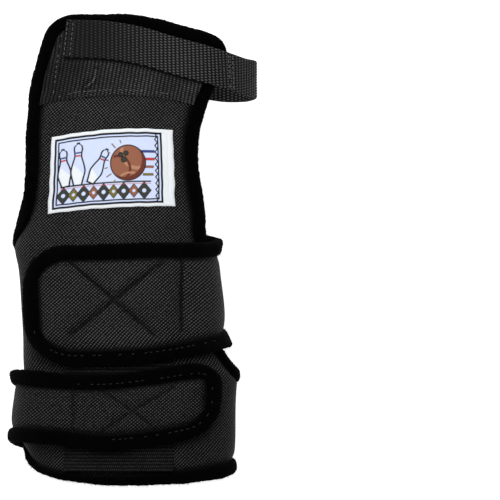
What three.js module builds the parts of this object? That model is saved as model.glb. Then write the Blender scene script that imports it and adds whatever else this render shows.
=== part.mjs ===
// A bowling wrist glove, closed and lying palm side down. A stiff padded panel covers the back of the hand,
// the wrist and the forearm. Two padded straps grow out of its sides, wrap round the palm side and close on
// top of it, and a webbing strap loops round the palm at the knuckles. Plush tape binds every edge.
// Millimetres. +Z is up, away from the back of the hand, and +Y runs from the forearm to the fingers.
import * as THREE from "three";

// Driving dimensions.
const LENGTH = 236; // forearm hem to knuckle edge
const HALF_WIDTH = 51; // middle of the tube to its inner wall
const ARCH_HEIGHT = 40; // inner height of the tube at the forearm
const BELT_HEIGHT = 17; // the tube is widest at this height, and round below it
const ARCH_POWER = 2.2; // 2 is an elliptical arch, more is squarer
const LINING_THICKNESS = 1; // suede
const PANEL_THICKNESS = 2.8; // nylon cloth on foam
const STRAP_THICKNESS = 3; // padded wrist straps
const TAPE_WIDTH = 7; // how much of the edge tape shows on each face
const TAPE_PROUD = 1.3; // how far the tape stands above what it binds
const LOOP_THICKNESS = 1; // loop pile patches
const HOOK_THICKNESS = 1.1; // hook patches under the strap ends
const LABEL_THICKNESS = 0.7;
const GAP = 0.3; // between pieces that touch
const LAP_GAP = 0.6; // between a strap and what it laps over
const WEBBING_WIDTH = 19;
const WEBBING_THICKNESS = 1.6;
const KNUCKLE_CORNERS = { left: 13.5, right: 11.8 }; // corner radii at the outer edge of the tape
const HEM_CORNERS = { left: 12, right: 0 };
const SEAM_TURN = 0.29; // where a strap is sewn to the panel, as a share of the way round the tube

// Heights of the layers above the tube's inner wall.
const PANEL_IN = LINING_THICKNESS + GAP;
const PANEL_OUT = PANEL_IN + PANEL_THICKNESS;
const STRAP_IN = PANEL_OUT - STRAP_THICKNESS;
const TAPE_OUT = PANEL_OUT + TAPE_PROUD;
const TAPE_IN = -TAPE_PROUD;
const PATCH_IN = PANEL_OUT + GAP;
const LOOP_OUT = PATCH_IN + LOOP_THICKNESS;
// A strap that laps over the panel is lifted clear of the panel's tape and of the loop patch.
const LIFT = Math.max(TAPE_OUT, LOOP_OUT) + LAP_GAP - (STRAP_IN - TAPE_PROUD);
const FLOOR = TAPE_OUT; // the inner wall's lowest line: the tape on the palm side lies at Z = 0

// The tube's inner wall, a row for each section. at is a share of LENGTH, left, right and mid are shares of
// HALF_WIDTH, top is a share of ARCH_HEIGHT and belt of BELT_HEIGHT. It bulges at the roots of the straps.
const SECTIONS = [
  { at: 0.0, left: 0.85, right: 0.99, top: 1.0, belt: 1.0 },
  { at: 0.07, left: 0.87, right: 1.0, top: 0.985, belt: 1.0 },
  { at: 0.1, left: 0.93, right: 1.005, top: 0.98, belt: 1.0 },
  { at: 0.2, left: 0.89, right: 1.015, top: 0.96, belt: 1.0 },
  { at: 0.24, left: 0.915, right: 1.03, top: 0.95, belt: 1.0 },
  { at: 0.257, left: 0.918, right: 0.98, top: 0.945, belt: 1.0 },
  { at: 0.272, left: 0.92, right: 0.91, top: 0.942, belt: 1.0 },
  { at: 0.291, left: 0.922, right: 0.84, top: 0.94, belt: 1.0 },
  { at: 0.31, left: 0.925, right: 0.8, top: 0.936, belt: 1.0 },
  { at: 0.33, left: 0.93, right: 0.785, top: 0.93, belt: 1.0 },
  { at: 0.4, left: 0.945, right: 0.75, top: 0.915, belt: 1.0 },
  { at: 0.46, left: 0.97, right: 0.72, top: 0.9, belt: 1.0 },
  { at: 0.51, left: 1.01, right: 0.735, top: 0.89, belt: 1.0 },
  { at: 0.55, left: 0.985, right: 0.785, top: 0.885, belt: 0.95 },
  { at: 0.58, left: 0.995, right: 0.83, top: 0.88, belt: 0.9 },
  { at: 0.66, left: 1.05, right: 0.88, top: 0.87, belt: 0.7 },
  { at: 0.76, left: 1.075, right: 0.94, top: 0.85, belt: 0.55 },
  { at: 0.86, left: 1.035, right: 1.065, top: 0.81, belt: 0.5 },
  { at: 0.94, left: 0.985, right: 1.14, top: 0.76, belt: 0.5 },
  { at: 1.0, left: 0.965, right: 1.155, top: 0.71, belt: 0.5 },
];

// The panel cloth's side edges, where the tape begins. at is a share of LENGTH, and left and right are shares
// of the way round the tube from the middle of the back. It reaches the seam turn where a strap is sewn on.
const PANEL_EDGES = [
  { at: 0.0, left: 0.25, right: 0.29 },
  { at: 0.19, left: 0.252, right: 0.29 },
  { at: 0.212, left: 0.264, right: 0.29 },
  { at: 0.219, left: 0.269, right: 0.266 },
  { at: 0.227, left: 0.275, right: 0.243 },
  { at: 0.236, left: 0.281, right: 0.225 },
  { at: 0.25, left: 0.29, right: 0.212 },
  { at: 0.265, left: 0.29, right: 0.208 },
  { at: 0.285, left: 0.29, right: 0.21 },
  { at: 0.33, left: 0.29, right: 0.218 },
  { at: 0.4, left: 0.29, right: 0.226 },
  { at: 0.474, left: 0.29, right: 0.217 },
  { at: 0.49, left: 0.278, right: 0.211 },
  { at: 0.505, left: 0.262, right: 0.205 },
  { at: 0.52, left: 0.243, right: 0.198 },
  { at: 0.53, left: 0.232, right: 0.193 },
  { at: 0.54, left: 0.222, right: 0.187 },
  { at: 0.555, left: 0.21, right: 0.181 },
  { at: 0.57, left: 0.2, right: 0.176 },
  { at: 0.6, left: 0.186, right: 0.167 },
  { at: 0.65, left: 0.172, right: 0.155 },
  { at: 0.7, left: 0.167, right: 0.146 },
  { at: 0.76, left: 0.166, right: 0.144 },
  { at: 0.83, left: 0.168, right: 0.15 },
  { at: 0.9, left: 0.164, right: 0.168 },
  { at: 0.95, left: 0.156, right: 0.181 },
  { at: 1.0, left: 0.149, right: 0.191 },
];
// Where each strap is sewn to the panel, as shares of LENGTH.
const UPPER_SEAM = { bottom: 0.25, top: 0.474 };
const LOWER_SEAM = { top: 0.212 };

// The panel cloth's two ends. across runs from its left side to its right, and rise is how far the cloth
// stands in from the end of the glove, as a share of LENGTH.
const HEM = [
  { across: 0.0, rise: 0.096 },
  { across: 0.07, rise: 0.076 },
  { across: 0.13, rise: 0.057 },
  { across: 0.28, rise: 0.037 },
  { across: 0.5, rise: 0.032 },
  { across: 0.75, rise: 0.042 },
  { across: 0.9, rise: 0.055 },
  { across: 1.0, rise: 0.061 },
];
const KNUCKLE = [
  { across: 0.0, rise: 0.03 },
  { across: 0.28, rise: 0.028 },
  { across: 0.59, rise: 0.036 },
  { across: 0.88, rise: 0.059 },
  { across: 1.0, rise: 0.075 },
];

// Cloth edges of the straps. turn is how far round the tube the strap has run from the middle of the back,
// 1 being back over it, and top and bottom are shares of LENGTH.
const UPPER_STRAP = [
  { turn: 0.29, top: 0.474, bottom: 0.25 },
  { turn: 0.34, top: 0.475, bottom: 0.262 },
  { turn: 0.38, top: 0.48, bottom: 0.284 },
  { turn: 0.44, top: 0.49, bottom: 0.3 },
  { turn: 0.51, top: 0.504, bottom: 0.313 },
  { turn: 0.585, top: 0.515, bottom: 0.33 },
  { turn: 0.65, top: 0.515, bottom: 0.342 },
  { turn: 0.72, top: 0.499, bottom: 0.336 },
  { turn: 0.8, top: 0.489, bottom: 0.317 },
  { turn: 0.9, top: 0.489, bottom: 0.298 },
  { turn: 1.0, top: 0.485, bottom: 0.288 },
  { turn: 1.2, top: 0.482, bottom: 0.284 },
];
const LOWER_STRAP = [
  { turn: 0.29, top: 0.212, bottom: 0.067 },
  { turn: 0.36, top: 0.189, bottom: 0.071 },
  { turn: 0.44, top: 0.185, bottom: 0.082 },
  { turn: 0.51, top: 0.186, bottom: 0.088 },
  { turn: 0.6, top: 0.187, bottom: 0.09 },
  { turn: 0.68, top: 0.2, bottom: 0.103 },
  { turn: 0.76, top: 0.216, bottom: 0.122 },
  { turn: 0.85, top: 0.213, bottom: 0.119 },
  { turn: 0.95, top: 0.211, bottom: 0.108 },
  { turn: 1.05, top: 0.222, bottom: 0.117 },
  { turn: 1.12, top: 0.233, bottom: 0.132 },
  { turn: 1.18, top: 0.237, bottom: 0.15 },
];
// Turn at which each strap's cloth ends, and the radii of its two end corners, measured on the cloth.
const UPPER_END_TURN = 1.168;
const UPPER_END_RADII = { top: 15, bottom: 14 };
const LOWER_END_TURN = 1.152;
const LOWER_END_RADII = { top: 4, bottom: 9 };
// A strap stays on the inner layer to the first turn and is fully lifted at the second.
const LIFT_TURNS = [0.648, 0.706];
// The tape thins from the panel to a strap between these turns, and its lengths join at the last of them.
const TAPE_TAPER_TURNS = [0.3, 0.37];
const TAPE_CLEAR_TURN = 0.02; // how far past the seam a strap's tape starts

// Flat-cut patches, by the middle and size of each. x is a share of HALF_WIDTH and y of LENGTH, bow is how
// far the long edges arch towards the fingers, and fan turns the patch in its plane.
const LABEL = { x: -0.131, y: 0.672, width: 63, height: 39.5, bow: 2.6, fan: 0.035, columns: 10, rows: 2 };
const WRIST_LOOP = { x: -0.06, y: 0.246, width: 52, height: 92, bow: 0, fan: 0, columns: 8, rows: 9 };
// The knuckle loop patch fills the panel's end, from side, a share of its width, within each edge.
const KNUCKLE_LOOP = { height: 38, bow: 5, side: 0.01, rows: 8 };
const HOOK_INSET = 3; // hook patch inside the strap cloth's edge
const UPPER_HOOK_TURNS = [0.895, 1.15];
const LOWER_HOOK_TURNS = [0.9, 1.13];

// The knuckle strap's route across the hand. x is a share of HALF_WIDTH, and y is the middle of the strap as
// a share of LENGTH. On top it lies on the panel from its free end to the panel's edge, and it is sewn in
// under the panel's other edge. Between them it is free, and z is a share of ARCH_HEIGHT.
const KNUCKLE_TOP = [
  { x: -0.535, y: 0.951 },
  { x: -0.15, y: 0.947 },
  { x: 0.16, y: 0.935 },
  { x: 0.46, y: 0.915 },
  { x: 0.76, y: 0.894 },
  { x: 0.92, y: 0.88 },
];
const KNUCKLE_FREE = [
  { x: 1.18, z: 0.58, y: 0.866 },
  { x: 1.285, z: 0.33, y: 0.862 },
  { x: 1.2, z: 0.11, y: 0.859 },
  { x: 1.0, z: 0.02, y: 0.858 },
  { x: 0.85, z: 0.004, y: 0.862 },
  { x: 0.5, z: 0.004, y: 0.878 },
  { x: 0.1, z: 0.004, y: 0.905 },
  { x: -0.3, z: 0.004, y: 0.926 },
  { x: -0.44, z: 0.02, y: 0.933 },
  { x: -0.56, z: 0.1, y: 0.937 },
  { x: -0.64, z: 0.27, y: 0.938 },
  { x: -0.65, z: 0.45, y: 0.938 },
];
const KNUCKLE_SEWN = [
  { x: -0.6, y: 0.937 },
  { x: -0.5, y: 0.937 },
];
const WEBBING_CLEARANCE = 0.8; // over the loop patch and the tape

// How finely the solids are cut.
const STRAP_STEPS = 42;
const STRAP_END_ROWS = [0, 0.3, 0.55, 0.75, 0.9, 1]; // shares of a strap's rounded end
const PANEL_END_ROWS = [1 / 3, 2 / 3]; // shares of the way from a curved end to the first straight row
const HOOK_STEPS = 12;
const ACROSS_STRAP = 3;
const ACROSS_PANEL = 14;
const ROW_STEP = 8; // at most, in millimetres, between the panel's rows
const ARC_STEPS = 24; // in a quarter of a section
const WEBBING_STEPS = 72;

// Value of a table's column between its rows, on a smooth curve.
function read(rows, by, column, value) {
  const last = rows.length - 1;
  if (value <= rows[0][by]) return rows[0][column];
  if (value >= rows[last][by]) return rows[last][column];
  let i = 0;
  while (rows[i + 1][by] < value) i++;
  const slope = (k) => {
    const a = rows[Math.max(k - 1, 0)];
    const b = rows[Math.min(k + 1, last)];
    return (b[column] - a[column]) / (b[by] - a[by]);
  };
  const span = rows[i + 1][by] - rows[i][by];
  const t = (value - rows[i][by]) / span;
  return (
    rows[i][column] * (1 + 2 * t) * (1 - t) ** 2 +
    rows[i + 1][column] * t * t * (3 - 2 * t) +
    slope(i) * span * t * (1 - t) ** 2 -
    slope(i + 1) * span * t * t * (1 - t)
  );
}

// Value of a column between its rows, straight from one row to the next.
function readStraight(rows, by, column, value) {
  const i = Math.max(
    0,
    rows.findLastIndex((row, k) => k < rows.length - 1 && row[by] <= value),
  );
  const t = (value - rows[i][by]) / (rows[i + 1][by] - rows[i][by]);
  const clamped = Math.min(Math.max(t, 0), 1);
  return rows[i][column] + clamped * (rows[i + 1][column] - rows[i][column]);
}

const smooth = (t) => t * t * (3 - 2 * t);
const share = (value, from, to) => Math.min(Math.max((value - from) / (to - from), 0), 1);
const mix = (a, b, t) => a + (b - a) * t;

// Half of the inner wall's outline at y, from the crest round to the middle of the palm side: points with
// their outward normals, and the distance run along the outline.
const sectionCache = new Map();
function section(y) {
  const key = y.toFixed(3);
  if (sectionCache.has(key)) return sectionCache.get(key);
  const at = y / LENGTH;
  const left = read(SECTIONS, "at", "left", at) * HALF_WIDTH;
  const right = read(SECTIONS, "at", "right", at) * HALF_WIDTH;
  const belt = read(SECTIONS, "at", "belt", at) * BELT_HEIGHT;
  const rise = read(SECTIONS, "at", "top", at) * ARCH_HEIGHT - belt;
  const reach = (left + right) / 2;
  const points = [];
  for (let k = 0; k <= ARC_STEPS; k++) {
    const angle = (k / ARC_STEPS) * (Math.PI / 2);
    const u = Math.sin(angle) ** (2 / ARCH_POWER);
    const v = Math.cos(angle) ** (2 / ARCH_POWER);
    const normal = new THREE.Vector2(
      u ** (ARCH_POWER - 1) / reach,
      v ** (ARCH_POWER - 1) / rise,
    ).normalize();
    points.push({ x: reach * u, z: belt + rise * v, nx: normal.x, nz: normal.y });
  }
  for (let k = 1; k <= ARC_STEPS; k++) {
    const angle = (k / ARC_STEPS) * (Math.PI / 2);
    const nx = Math.cos(angle);
    const nz = -Math.sin(angle);
    points.push({ x: reach - belt + belt * nx, z: belt + belt * nz, nx, nz });
  }
  points.push({ x: 0, z: 0, nx: 0, nz: -1 });
  let run = 0;
  points.forEach((p, k) => {
    if (k) run += Math.hypot(p.x - points[k - 1].x, p.z - points[k - 1].z);
    p.run = run;
  });
  const made = { points, middle: (right - left) / 2, girth: 2 * run };
  sectionCache.set(key, made);
  return made;
}

// The point at y, a share of the way round from the crest (left is negative), and a height above the wall.
function wall(y, turn, height) {
  const { points, middle, girth } = section(y);
  const wrapped = turn - Math.round(turn);
  const side = wrapped < 0 ? -1 : 1;
  const run = Math.abs(wrapped) * girth;
  let k = points.findIndex((p) => p.run >= run - 1e-9);
  k = Math.max(k, 1);
  const a = points[k - 1];
  const b = points[k];
  const t = (run - a.run) / (b.run - a.run);
  const normal = new THREE.Vector2(mix(a.nx, b.nx, t), mix(a.nz, b.nz, t)).normalize();
  return new THREE.Vector3(
    middle + side * (mix(a.x, b.x, t) + normal.x * height),
    y,
    FLOOR + mix(a.z, b.z, t) + normal.y * height,
  );
}

// The turn at which the wall has this x, on the back of the hand.
function turnAt(y, x) {
  const { points, middle, girth } = section(y);
  const reach = Math.abs(x - middle);
  const k = Math.max(points.findIndex((p) => p.x >= reach), 1);
  const a = points[k - 1];
  const b = points[k];
  const run = mix(a.run, b.run, (reach - a.x) / (b.x - a.x));
  return (Math.sign(x - middle) * run) / girth;
}

// A closed body through rings of points, which all have the same even number. The ends are capped.
function loft(rings) {
  const count = rings[0].length;
  const positions = rings.flat().flatMap((p) => [p.x, p.y, p.z]);
  const index = [];
  for (let i = 0; i + 1 < rings.length; i++)
    for (let k = 0; k < count; k++) {
      const a = i * count + k;
      const b = i * count + ((k + 1) % count);
      // Both faces of a sheet are split along the same diagonals, so that nested sheets keep their gap.
      if (k < count / 2) index.push(a, b, a + count, b, b + count, a + count);
      else index.push(a, b, b + count, a, b + count, a + count);
    }
  const cap = (start, flip) => {
    for (let k = 0; k + 1 < count / 2; k++) {
      const [a, b, c, d] = [k, k + 1, count - 2 - k, count - 1 - k].map((v) => start + v);
      index.push(...(flip ? [a, b, c, a, c, d] : [a, c, b, a, d, c]));
    }
  };
  cap(0, false);
  cap((rings.length - 1) * count, true);
  const geometry = new THREE.BufferGeometry();
  geometry.setAttribute("position", new THREE.Float32BufferAttribute(positions, 3));
  geometry.setIndex(volume(positions, index) < 0 ? index.reverse() : index);
  geometry.computeVertexNormals();
  return geometry;
}

function volume(positions, index) {
  const corner = (i) => new THREE.Vector3().fromArray(positions, 3 * index[i]);
  let sum = 0;
  for (let i = 0; i < index.length; i += 3)
    sum += corner(i).dot(corner(i + 1).cross(corner(i + 2))) / 6;
  return sum;
}

// A sheet between two heights over the wall. Its grid holds rows of { turn, y }, and lift raises it.
function sheet(grid, low, high, lift = () => 0) {
  const at = (p, height) => wall(p.y, p.turn, height + lift(p));
  return loft(
    grid.map((row) => [
      ...row.map((p) => at(p, high)),
      ...row.toReversed().map((p) => at(p, low)),
    ]),
  );
}

// The step in { turn, y } that goes one millimetre to the left of a path, square to it on the wall.
function leftOf(p, before, after) {
  const nudge = 0.5;
  const width = section(p.y).girth;
  const aside = (by) => wall(p.y, p.turn + by / width, PANEL_OUT);
  const ahead = (by) => wall(p.y + by, p.turn, PANEL_OUT);
  const perTurn = aside(nudge).sub(aside(-nudge)).multiplyScalar(width / (2 * nudge));
  const perY = ahead(nudge).sub(ahead(-nudge)).divideScalar(2 * nudge);
  const along = perTurn.clone().multiplyScalar(after.turn - before.turn);
  along.addScaledVector(perY, after.y - before.y);
  const turn = -perY.dot(along);
  const y = perTurn.dot(along);
  const size = perTurn.multiplyScalar(turn).addScaledVector(perY, y).length();
  return { turn: turn / size, y: y / size };
}

// Inner height of the tape: it is thinner on a strap, which has no lining.
function tapeIn(p) {
  return mix(TAPE_IN, STRAP_IN - TAPE_PROUD, smooth(share(Math.abs(p.turn), ...TAPE_TAPER_TURNS)));
}

// Edge tape on the left of a closed outline of { turn, y }, from one of its points to a later one. It stops
// short of the last by the gap.
function tape(outline, from, to) {
  const at = (i) => outline[(i + outline.length) % outline.length];
  const rings = [];
  for (let i = from; i <= to; i++) {
    const p = at(i);
    const side = leftOf(p, at(i - 1), at(i + 1));
    const low = tapeIn(p);
    const bevel = (TAPE_OUT - low) / 4;
    const middle = (low + TAPE_OUT) / 2;
    const profile = [
      [GAP, TAPE_OUT],
      [TAPE_WIDTH - bevel, TAPE_OUT],
      [TAPE_WIDTH, middle + bevel / 2],
      [TAPE_WIDTH, middle - bevel / 2],
      [TAPE_WIDTH - bevel, low],
      [GAP, low],
    ];
    rings.push(
      profile.map(([out, height]) => {
        const q = { turn: p.turn + side.turn * out, y: p.y + side.y * out };
        return wall(q.y, q.turn, height + strapLift(q));
      }),
    );
  }
  const [before, last] = rings.slice(-2);
  rings[rings.length - 1] = last.map((p, k) => {
    const run = p.distanceTo(before[k]);
    return before[k].clone().lerp(p, 1 - GAP / run);
  });
  return loft(rings);
}

// Shares from 0 to 1, close together at both ends.
const easedShares = (count) =>
  Array.from({ length: count + 1 }, (_, k) => (1 - Math.cos((k / count) * Math.PI)) / 2);

// How far a rounded corner of this radius stands back at a distance from the edge it rounds off.
function cornerDrop(distance, radius) {
  if (distance >= radius || radius <= 0) return 0;
  return radius - Math.sqrt(radius ** 2 - (radius - distance) ** 2);
}

const panelEdge = (y, side) => {
  const turn = readStraight(PANEL_EDGES, "at", side < 0 ? "left" : "right", y / LENGTH);
  return side * turn;
};

// The panel cloth's outline at one share across: y of its hem and of its knuckle edge.
function panelEnd(table, across, radii, toMiddle) {
  const base = table === HEM ? 0 : LENGTH;
  const rise = read(table, "across", "rise", across) * LENGTH;
  const y = base + toMiddle * rise;
  const width = (panelEdge(y, 1) - panelEdge(y, -1)) * section(y).girth;
  const left = cornerDrop(across * width, radii.left - TAPE_WIDTH);
  const right = cornerDrop((1 - across) * width, radii.right - TAPE_WIDTH);
  return y + toMiddle * (left + right);
}

// The panel's rows of { turn, y }, from the hem to the knuckles. Its rows meet the ends of both seams.
function panelGrid() {
  const across = easedShares(ACROSS_PANEL);
  const hem = across.map((q) => panelEnd(HEM, q, HEM_CORNERS, 1));
  const knuckle = across.map((q) => panelEnd(KNUCKLE, q, KNUCKLE_CORNERS, -1));
  const first = Math.max(...hem) + ROW_STEP;
  const final = Math.min(...knuckle) - ROW_STEP;
  const between = PANEL_EDGES.map((row) => row.at * LENGTH).filter((y) => y > first && y < final);
  const fixed = [first, ...between, final];
  const rows = [hem, ...PANEL_END_ROWS.map((t) => hem.map((y) => mix(y, first, t)))];
  fixed.slice(1).forEach((to, i) => {
    const from = fixed[i];
    const steps = Math.ceil((to - from) / ROW_STEP);
    for (let k = 0; k < steps; k++) rows.push(across.map(() => mix(from, to, k / steps)));
  });
  rows.push(across.map(() => final));
  rows.push(...PANEL_END_ROWS.map((t) => knuckle.map((y) => mix(final, y, t))), knuckle);
  return rows.map((row) =>
    row.map((y, k) => ({ y, turn: mix(panelEdge(y, -1), panelEdge(y, 1), across[k]) })),
  );
}

// A strap's rows of { turn, y } across its width, from its seam to its rounded end. way is -1 for the strap
// that leaves the panel on the left, and 1 for the one that leaves it on the right.
function strapGrid(table, to, radii, way) {
  const rounded = (radii.top + radii.bottom) / 2;
  const girth = section(read(table, "turn", "top", 1) * LENGTH).girth;
  const from = SEAM_TURN + GAP / girth;
  const rows = [];
  const straight = to - rounded / girth;
  for (let k = 0; k < STRAP_STEPS; k++) rows.push(mix(from, straight, k / STRAP_STEPS));
  for (const t of STRAP_END_ROWS) rows.push(mix(straight, to, t));
  return rows.map((turn) => {
    const left = (to - turn) * girth;
    const top = read(table, "turn", "top", turn) * LENGTH;
    const bottom = read(table, "turn", "bottom", turn) * LENGTH;
    const high = top - cornerDrop(left, radii.top);
    const low = bottom + cornerDrop(left, radii.bottom);
    return Array.from({ length: ACROSS_STRAP + 1 }, (_, k) => ({
      turn: way * turn,
      y: mix(high, low, k / ACROSS_STRAP),
    }));
  });
}

const strapLift = (p) => LIFT * smooth(share(Math.abs(p.turn), ...LIFT_TURNS));

// The strap's edge from its root out along its top, round its end and back along its bottom, with the places
// of the two points at which the tape is joined.
function strapEdge(grid) {
  const first = grid.findIndex((row) => Math.abs(row[0].turn) > SEAM_TURN + TAPE_CLEAR_TURN);
  const joint = grid.findIndex((row) => Math.abs(row[0].turn) > TAPE_TAPER_TURNS[1]);
  const out = grid.slice(first).map((row) => row[0]);
  const back = grid.slice(first).map((row) => row.at(-1)).toReversed();
  const points = [...out, ...grid.at(-1).slice(1, -1), ...back];
  return { points, joints: [joint - first, points.length - 1 - (joint - first)] };
}

// A patch laid on the back of the hand, cut as a rectangle with bowed long edges.
function patchGrid({ x, y, width, height, bow, fan, columns, rows }) {
  return Array.from({ length: rows + 1 }, (_, j) =>
    Array.from({ length: columns + 1 }, (_, i) => {
      const u = (i / columns - 0.5) * width;
      const v = (j / rows - 0.5) * height;
      const arch = bow * (1 - (2 * i / columns - 1) ** 2) * (j / rows);
      const at = y * LENGTH + v + arch + fan * u;
      return { y: at, turn: turnAt(at, x * HALF_WIDTH + u) };
    }),
  );
}

const materials = {
  cloth: new THREE.MeshStandardMaterial({ color: 0x26272a, roughness: 0.85, metalness: 0 }),
  suede: new THREE.MeshStandardMaterial({ color: 0x0b0b0c, roughness: 1, metalness: 0 }),
  tape: new THREE.MeshStandardMaterial({ color: 0x060607, roughness: 1, metalness: 0 }),
  webbing: new THREE.MeshStandardMaterial({ color: 0x2c2c2e, roughness: 0.6, metalness: 0 }),
  pile: new THREE.MeshStandardMaterial({ color: 0x1c1c1e, roughness: 0.95, metalness: 0 }),
  label: new THREE.MeshStandardMaterial({ color: 0xe6eaf4, roughness: 0.8, metalness: 0 }),
};

const glove = new THREE.Group();
function add(name, geometry, material) {
  const mesh = new THREE.Mesh(geometry, materials[material]);
  mesh.name = name;
  glove.add(mesh);
}

function addPanel() {
  const grid = panelGrid();
  add("back_panel", sheet(grid, PANEL_IN, PANEL_OUT), "cloth");
  add("suede_lining", sheet(grid, 0, LINING_THICKNESS), "suede");
}

function addStrap(name, table, grid, way, hookTurns) {
  add(`${name}_strap`, sheet(grid, STRAP_IN, PANEL_OUT, strapLift), "cloth");
  const hook = hookGrid(table, way, hookTurns);
  const top = STRAP_IN - GAP;
  add(`${name}_hook_patch`, sheet(hook, top - HOOK_THICKNESS, top, strapLift), "pile");
}

// One tape binds the whole outline, clockwise from the top of the upper strap's seam. It is joined on the
// palm side, at four points near the roots of the straps.
function addTapes(upperGrid, lowerGrid) {
  const grid = panelGrid();
  const rowAt = (at) => grid.findIndex((row) => Math.abs(row[0].y - at * LENGTH) < 1e-6);
  const left = grid.map((row) => row[0]);
  const right = grid.map((row) => row.at(-1));
  const hand = [
    ...left.slice(rowAt(UPPER_SEAM.top)),
    ...grid.at(-1).slice(1, -1),
    ...right.slice(rowAt(LOWER_SEAM.top)).toReversed(),
  ];
  const cuff = [
    ...grid[0].toReversed(),
    ...left.slice(1, rowAt(UPPER_SEAM.bottom) + 1),
  ];
  const lower = strapEdge(lowerGrid);
  const upper = strapEdge(upperGrid);
  const outline = [...hand, ...lower.points, ...cuff, ...upper.points.toReversed()];
  const lowerJoints = lower.joints.map((i) => hand.length + i);
  const upperJoints = upper.joints.toReversed().map((i) => outline.length - 1 - i);
  add("hand_edge_tape", tape(outline, upperJoints[1] - outline.length, lowerJoints[0]), "tape");
  add("lower_strap_tape", tape(outline, lowerJoints[0], lowerJoints[1]), "tape");
  add("cuff_edge_tape", tape(outline, lowerJoints[1], upperJoints[0]), "tape");
  add("upper_strap_tape", tape(outline, upperJoints[0], upperJoints[1]), "tape");
}

// The hook patch under a strap's end, inside the strap's cloth, with its corners cut off.
function hookGrid(table, way, [from, to]) {
  return Array.from({ length: HOOK_STEPS + 1 }, (_, k) => {
    const turn = mix(from, to, k / HOOK_STEPS);
    const inset = k % HOOK_STEPS ? HOOK_INSET : 2 * HOOK_INSET;
    return [
      { turn: way * turn, y: read(table, "turn", "top", turn) * LENGTH - inset },
      { turn: way * turn, y: read(table, "turn", "bottom", turn) * LENGTH + inset },
    ];
  });
}

function addPatches() {
  add("label", sheet(patchGrid(LABEL), PATCH_IN, PATCH_IN + LABEL_THICKNESS), "label");
  add("wrist_loop_patch", sheet(patchGrid(WRIST_LOOP), PATCH_IN, LOOP_OUT), "pile");

  const { height, bow, side, rows } = KNUCKLE_LOOP;
  const top = panelGrid().at(-1).slice(1, -1);
  const grid = Array.from({ length: rows + 1 }, (_, j) =>
    top.map((p, i) => {
      const across = i / (top.length - 1);
      const low = LENGTH - TAPE_WIDTH - height + bow * (1 - (2 * across - 1) ** 2);
      const y = mix(p.y - GAP, low, j / rows);
      const inset = GAP / section(y).girth;
      const left = panelEdge(y, -1) + inset;
      const right = panelEdge(y, 1) - inset;
      return { y, turn: mix(left, right, mix(side, 1 - side, across)) };
    }),
  );
  add("knuckle_loop_patch", sheet(grid, PATCH_IN, LOOP_OUT), "pile");
}

// The knuckle strap: hooked on top of the panel, round the right side of the hand, across the palm and sewn
// in under the panel's left edge.
function addKnuckleStrap() {
  const half = WEBBING_THICKNESS / 2;
  const above = Math.max(TAPE_OUT, LOOP_OUT) + WEBBING_CLEARANCE + half;
  const below = TAPE_IN - LAP_GAP - half;
  const edge = (side) => {
    const shift = (side * WEBBING_WIDTH) / 2;
    const on = (height) => (p) => {
      const y = p.y * LENGTH + shift;
      return wall(y, turnAt(y, p.x * HALF_WIDTH), height);
    };
    const free = (p) =>
      new THREE.Vector3(p.x * HALF_WIDTH, p.y * LENGTH + shift, half + p.z * ARCH_HEIGHT);
    return new THREE.CatmullRomCurve3(
      [...KNUCKLE_TOP.map(on(above)), ...KNUCKLE_FREE.map(free), ...KNUCKLE_SEWN.map(on(below))],
      false,
      "centripetal",
    ).getPoints(WEBBING_STEPS);
  };
  const far = edge(1);
  const near = edge(-1);
  const rings = far.map((p, i) => {
    const q = near[i];
    const last = Math.min(i + 1, WEBBING_STEPS);
    const first = Math.max(i - 1, 0);
    const along = far[last].clone().sub(far[first]).add(near[last]).sub(near[first]);
    const up = p.clone().sub(q).cross(along).setLength(half);
    return [p.clone().add(up), q.clone().add(up), q.clone().sub(up), p.clone().sub(up)];
  });
  add("knuckle_strap", loft(rings), "webbing");
}

const upperGrid = strapGrid(UPPER_STRAP, UPPER_END_TURN, UPPER_END_RADII, -1);
const lowerGrid = strapGrid(LOWER_STRAP, LOWER_END_TURN, LOWER_END_RADII, 1);
addPanel();
addStrap("upper", UPPER_STRAP, upperGrid, -1, UPPER_HOOK_TURNS);
addStrap("lower", LOWER_STRAP, lowerGrid, 1, LOWER_HOOK_TURNS);
addTapes(upperGrid, lowerGrid);
addPatches();
addKnuckleStrap();

// The frame's origin is under the middle of the glove, on the surface that it lies on.
const box = new THREE.Box3().setFromObject(glove, true);
const middle = box.getCenter(new THREE.Vector3());
glove.position.set(-middle.x, -middle.y, -box.min.z);

export default glove;
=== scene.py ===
"""A bowling wrist glove, closed and lying palm side down, in the looks of the real one.

The soft pieces are laid over a tube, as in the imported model. Some rows of the tables, such as those of
the hem, the knuckles' edges and the knuckle strap, follow the photograph more closely than there.
Lengths are millimetres in the tube's own frame, with the hem at Y = 0, and are turned into metres of
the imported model's frame when a mesh is made.
"""
import math

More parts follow.
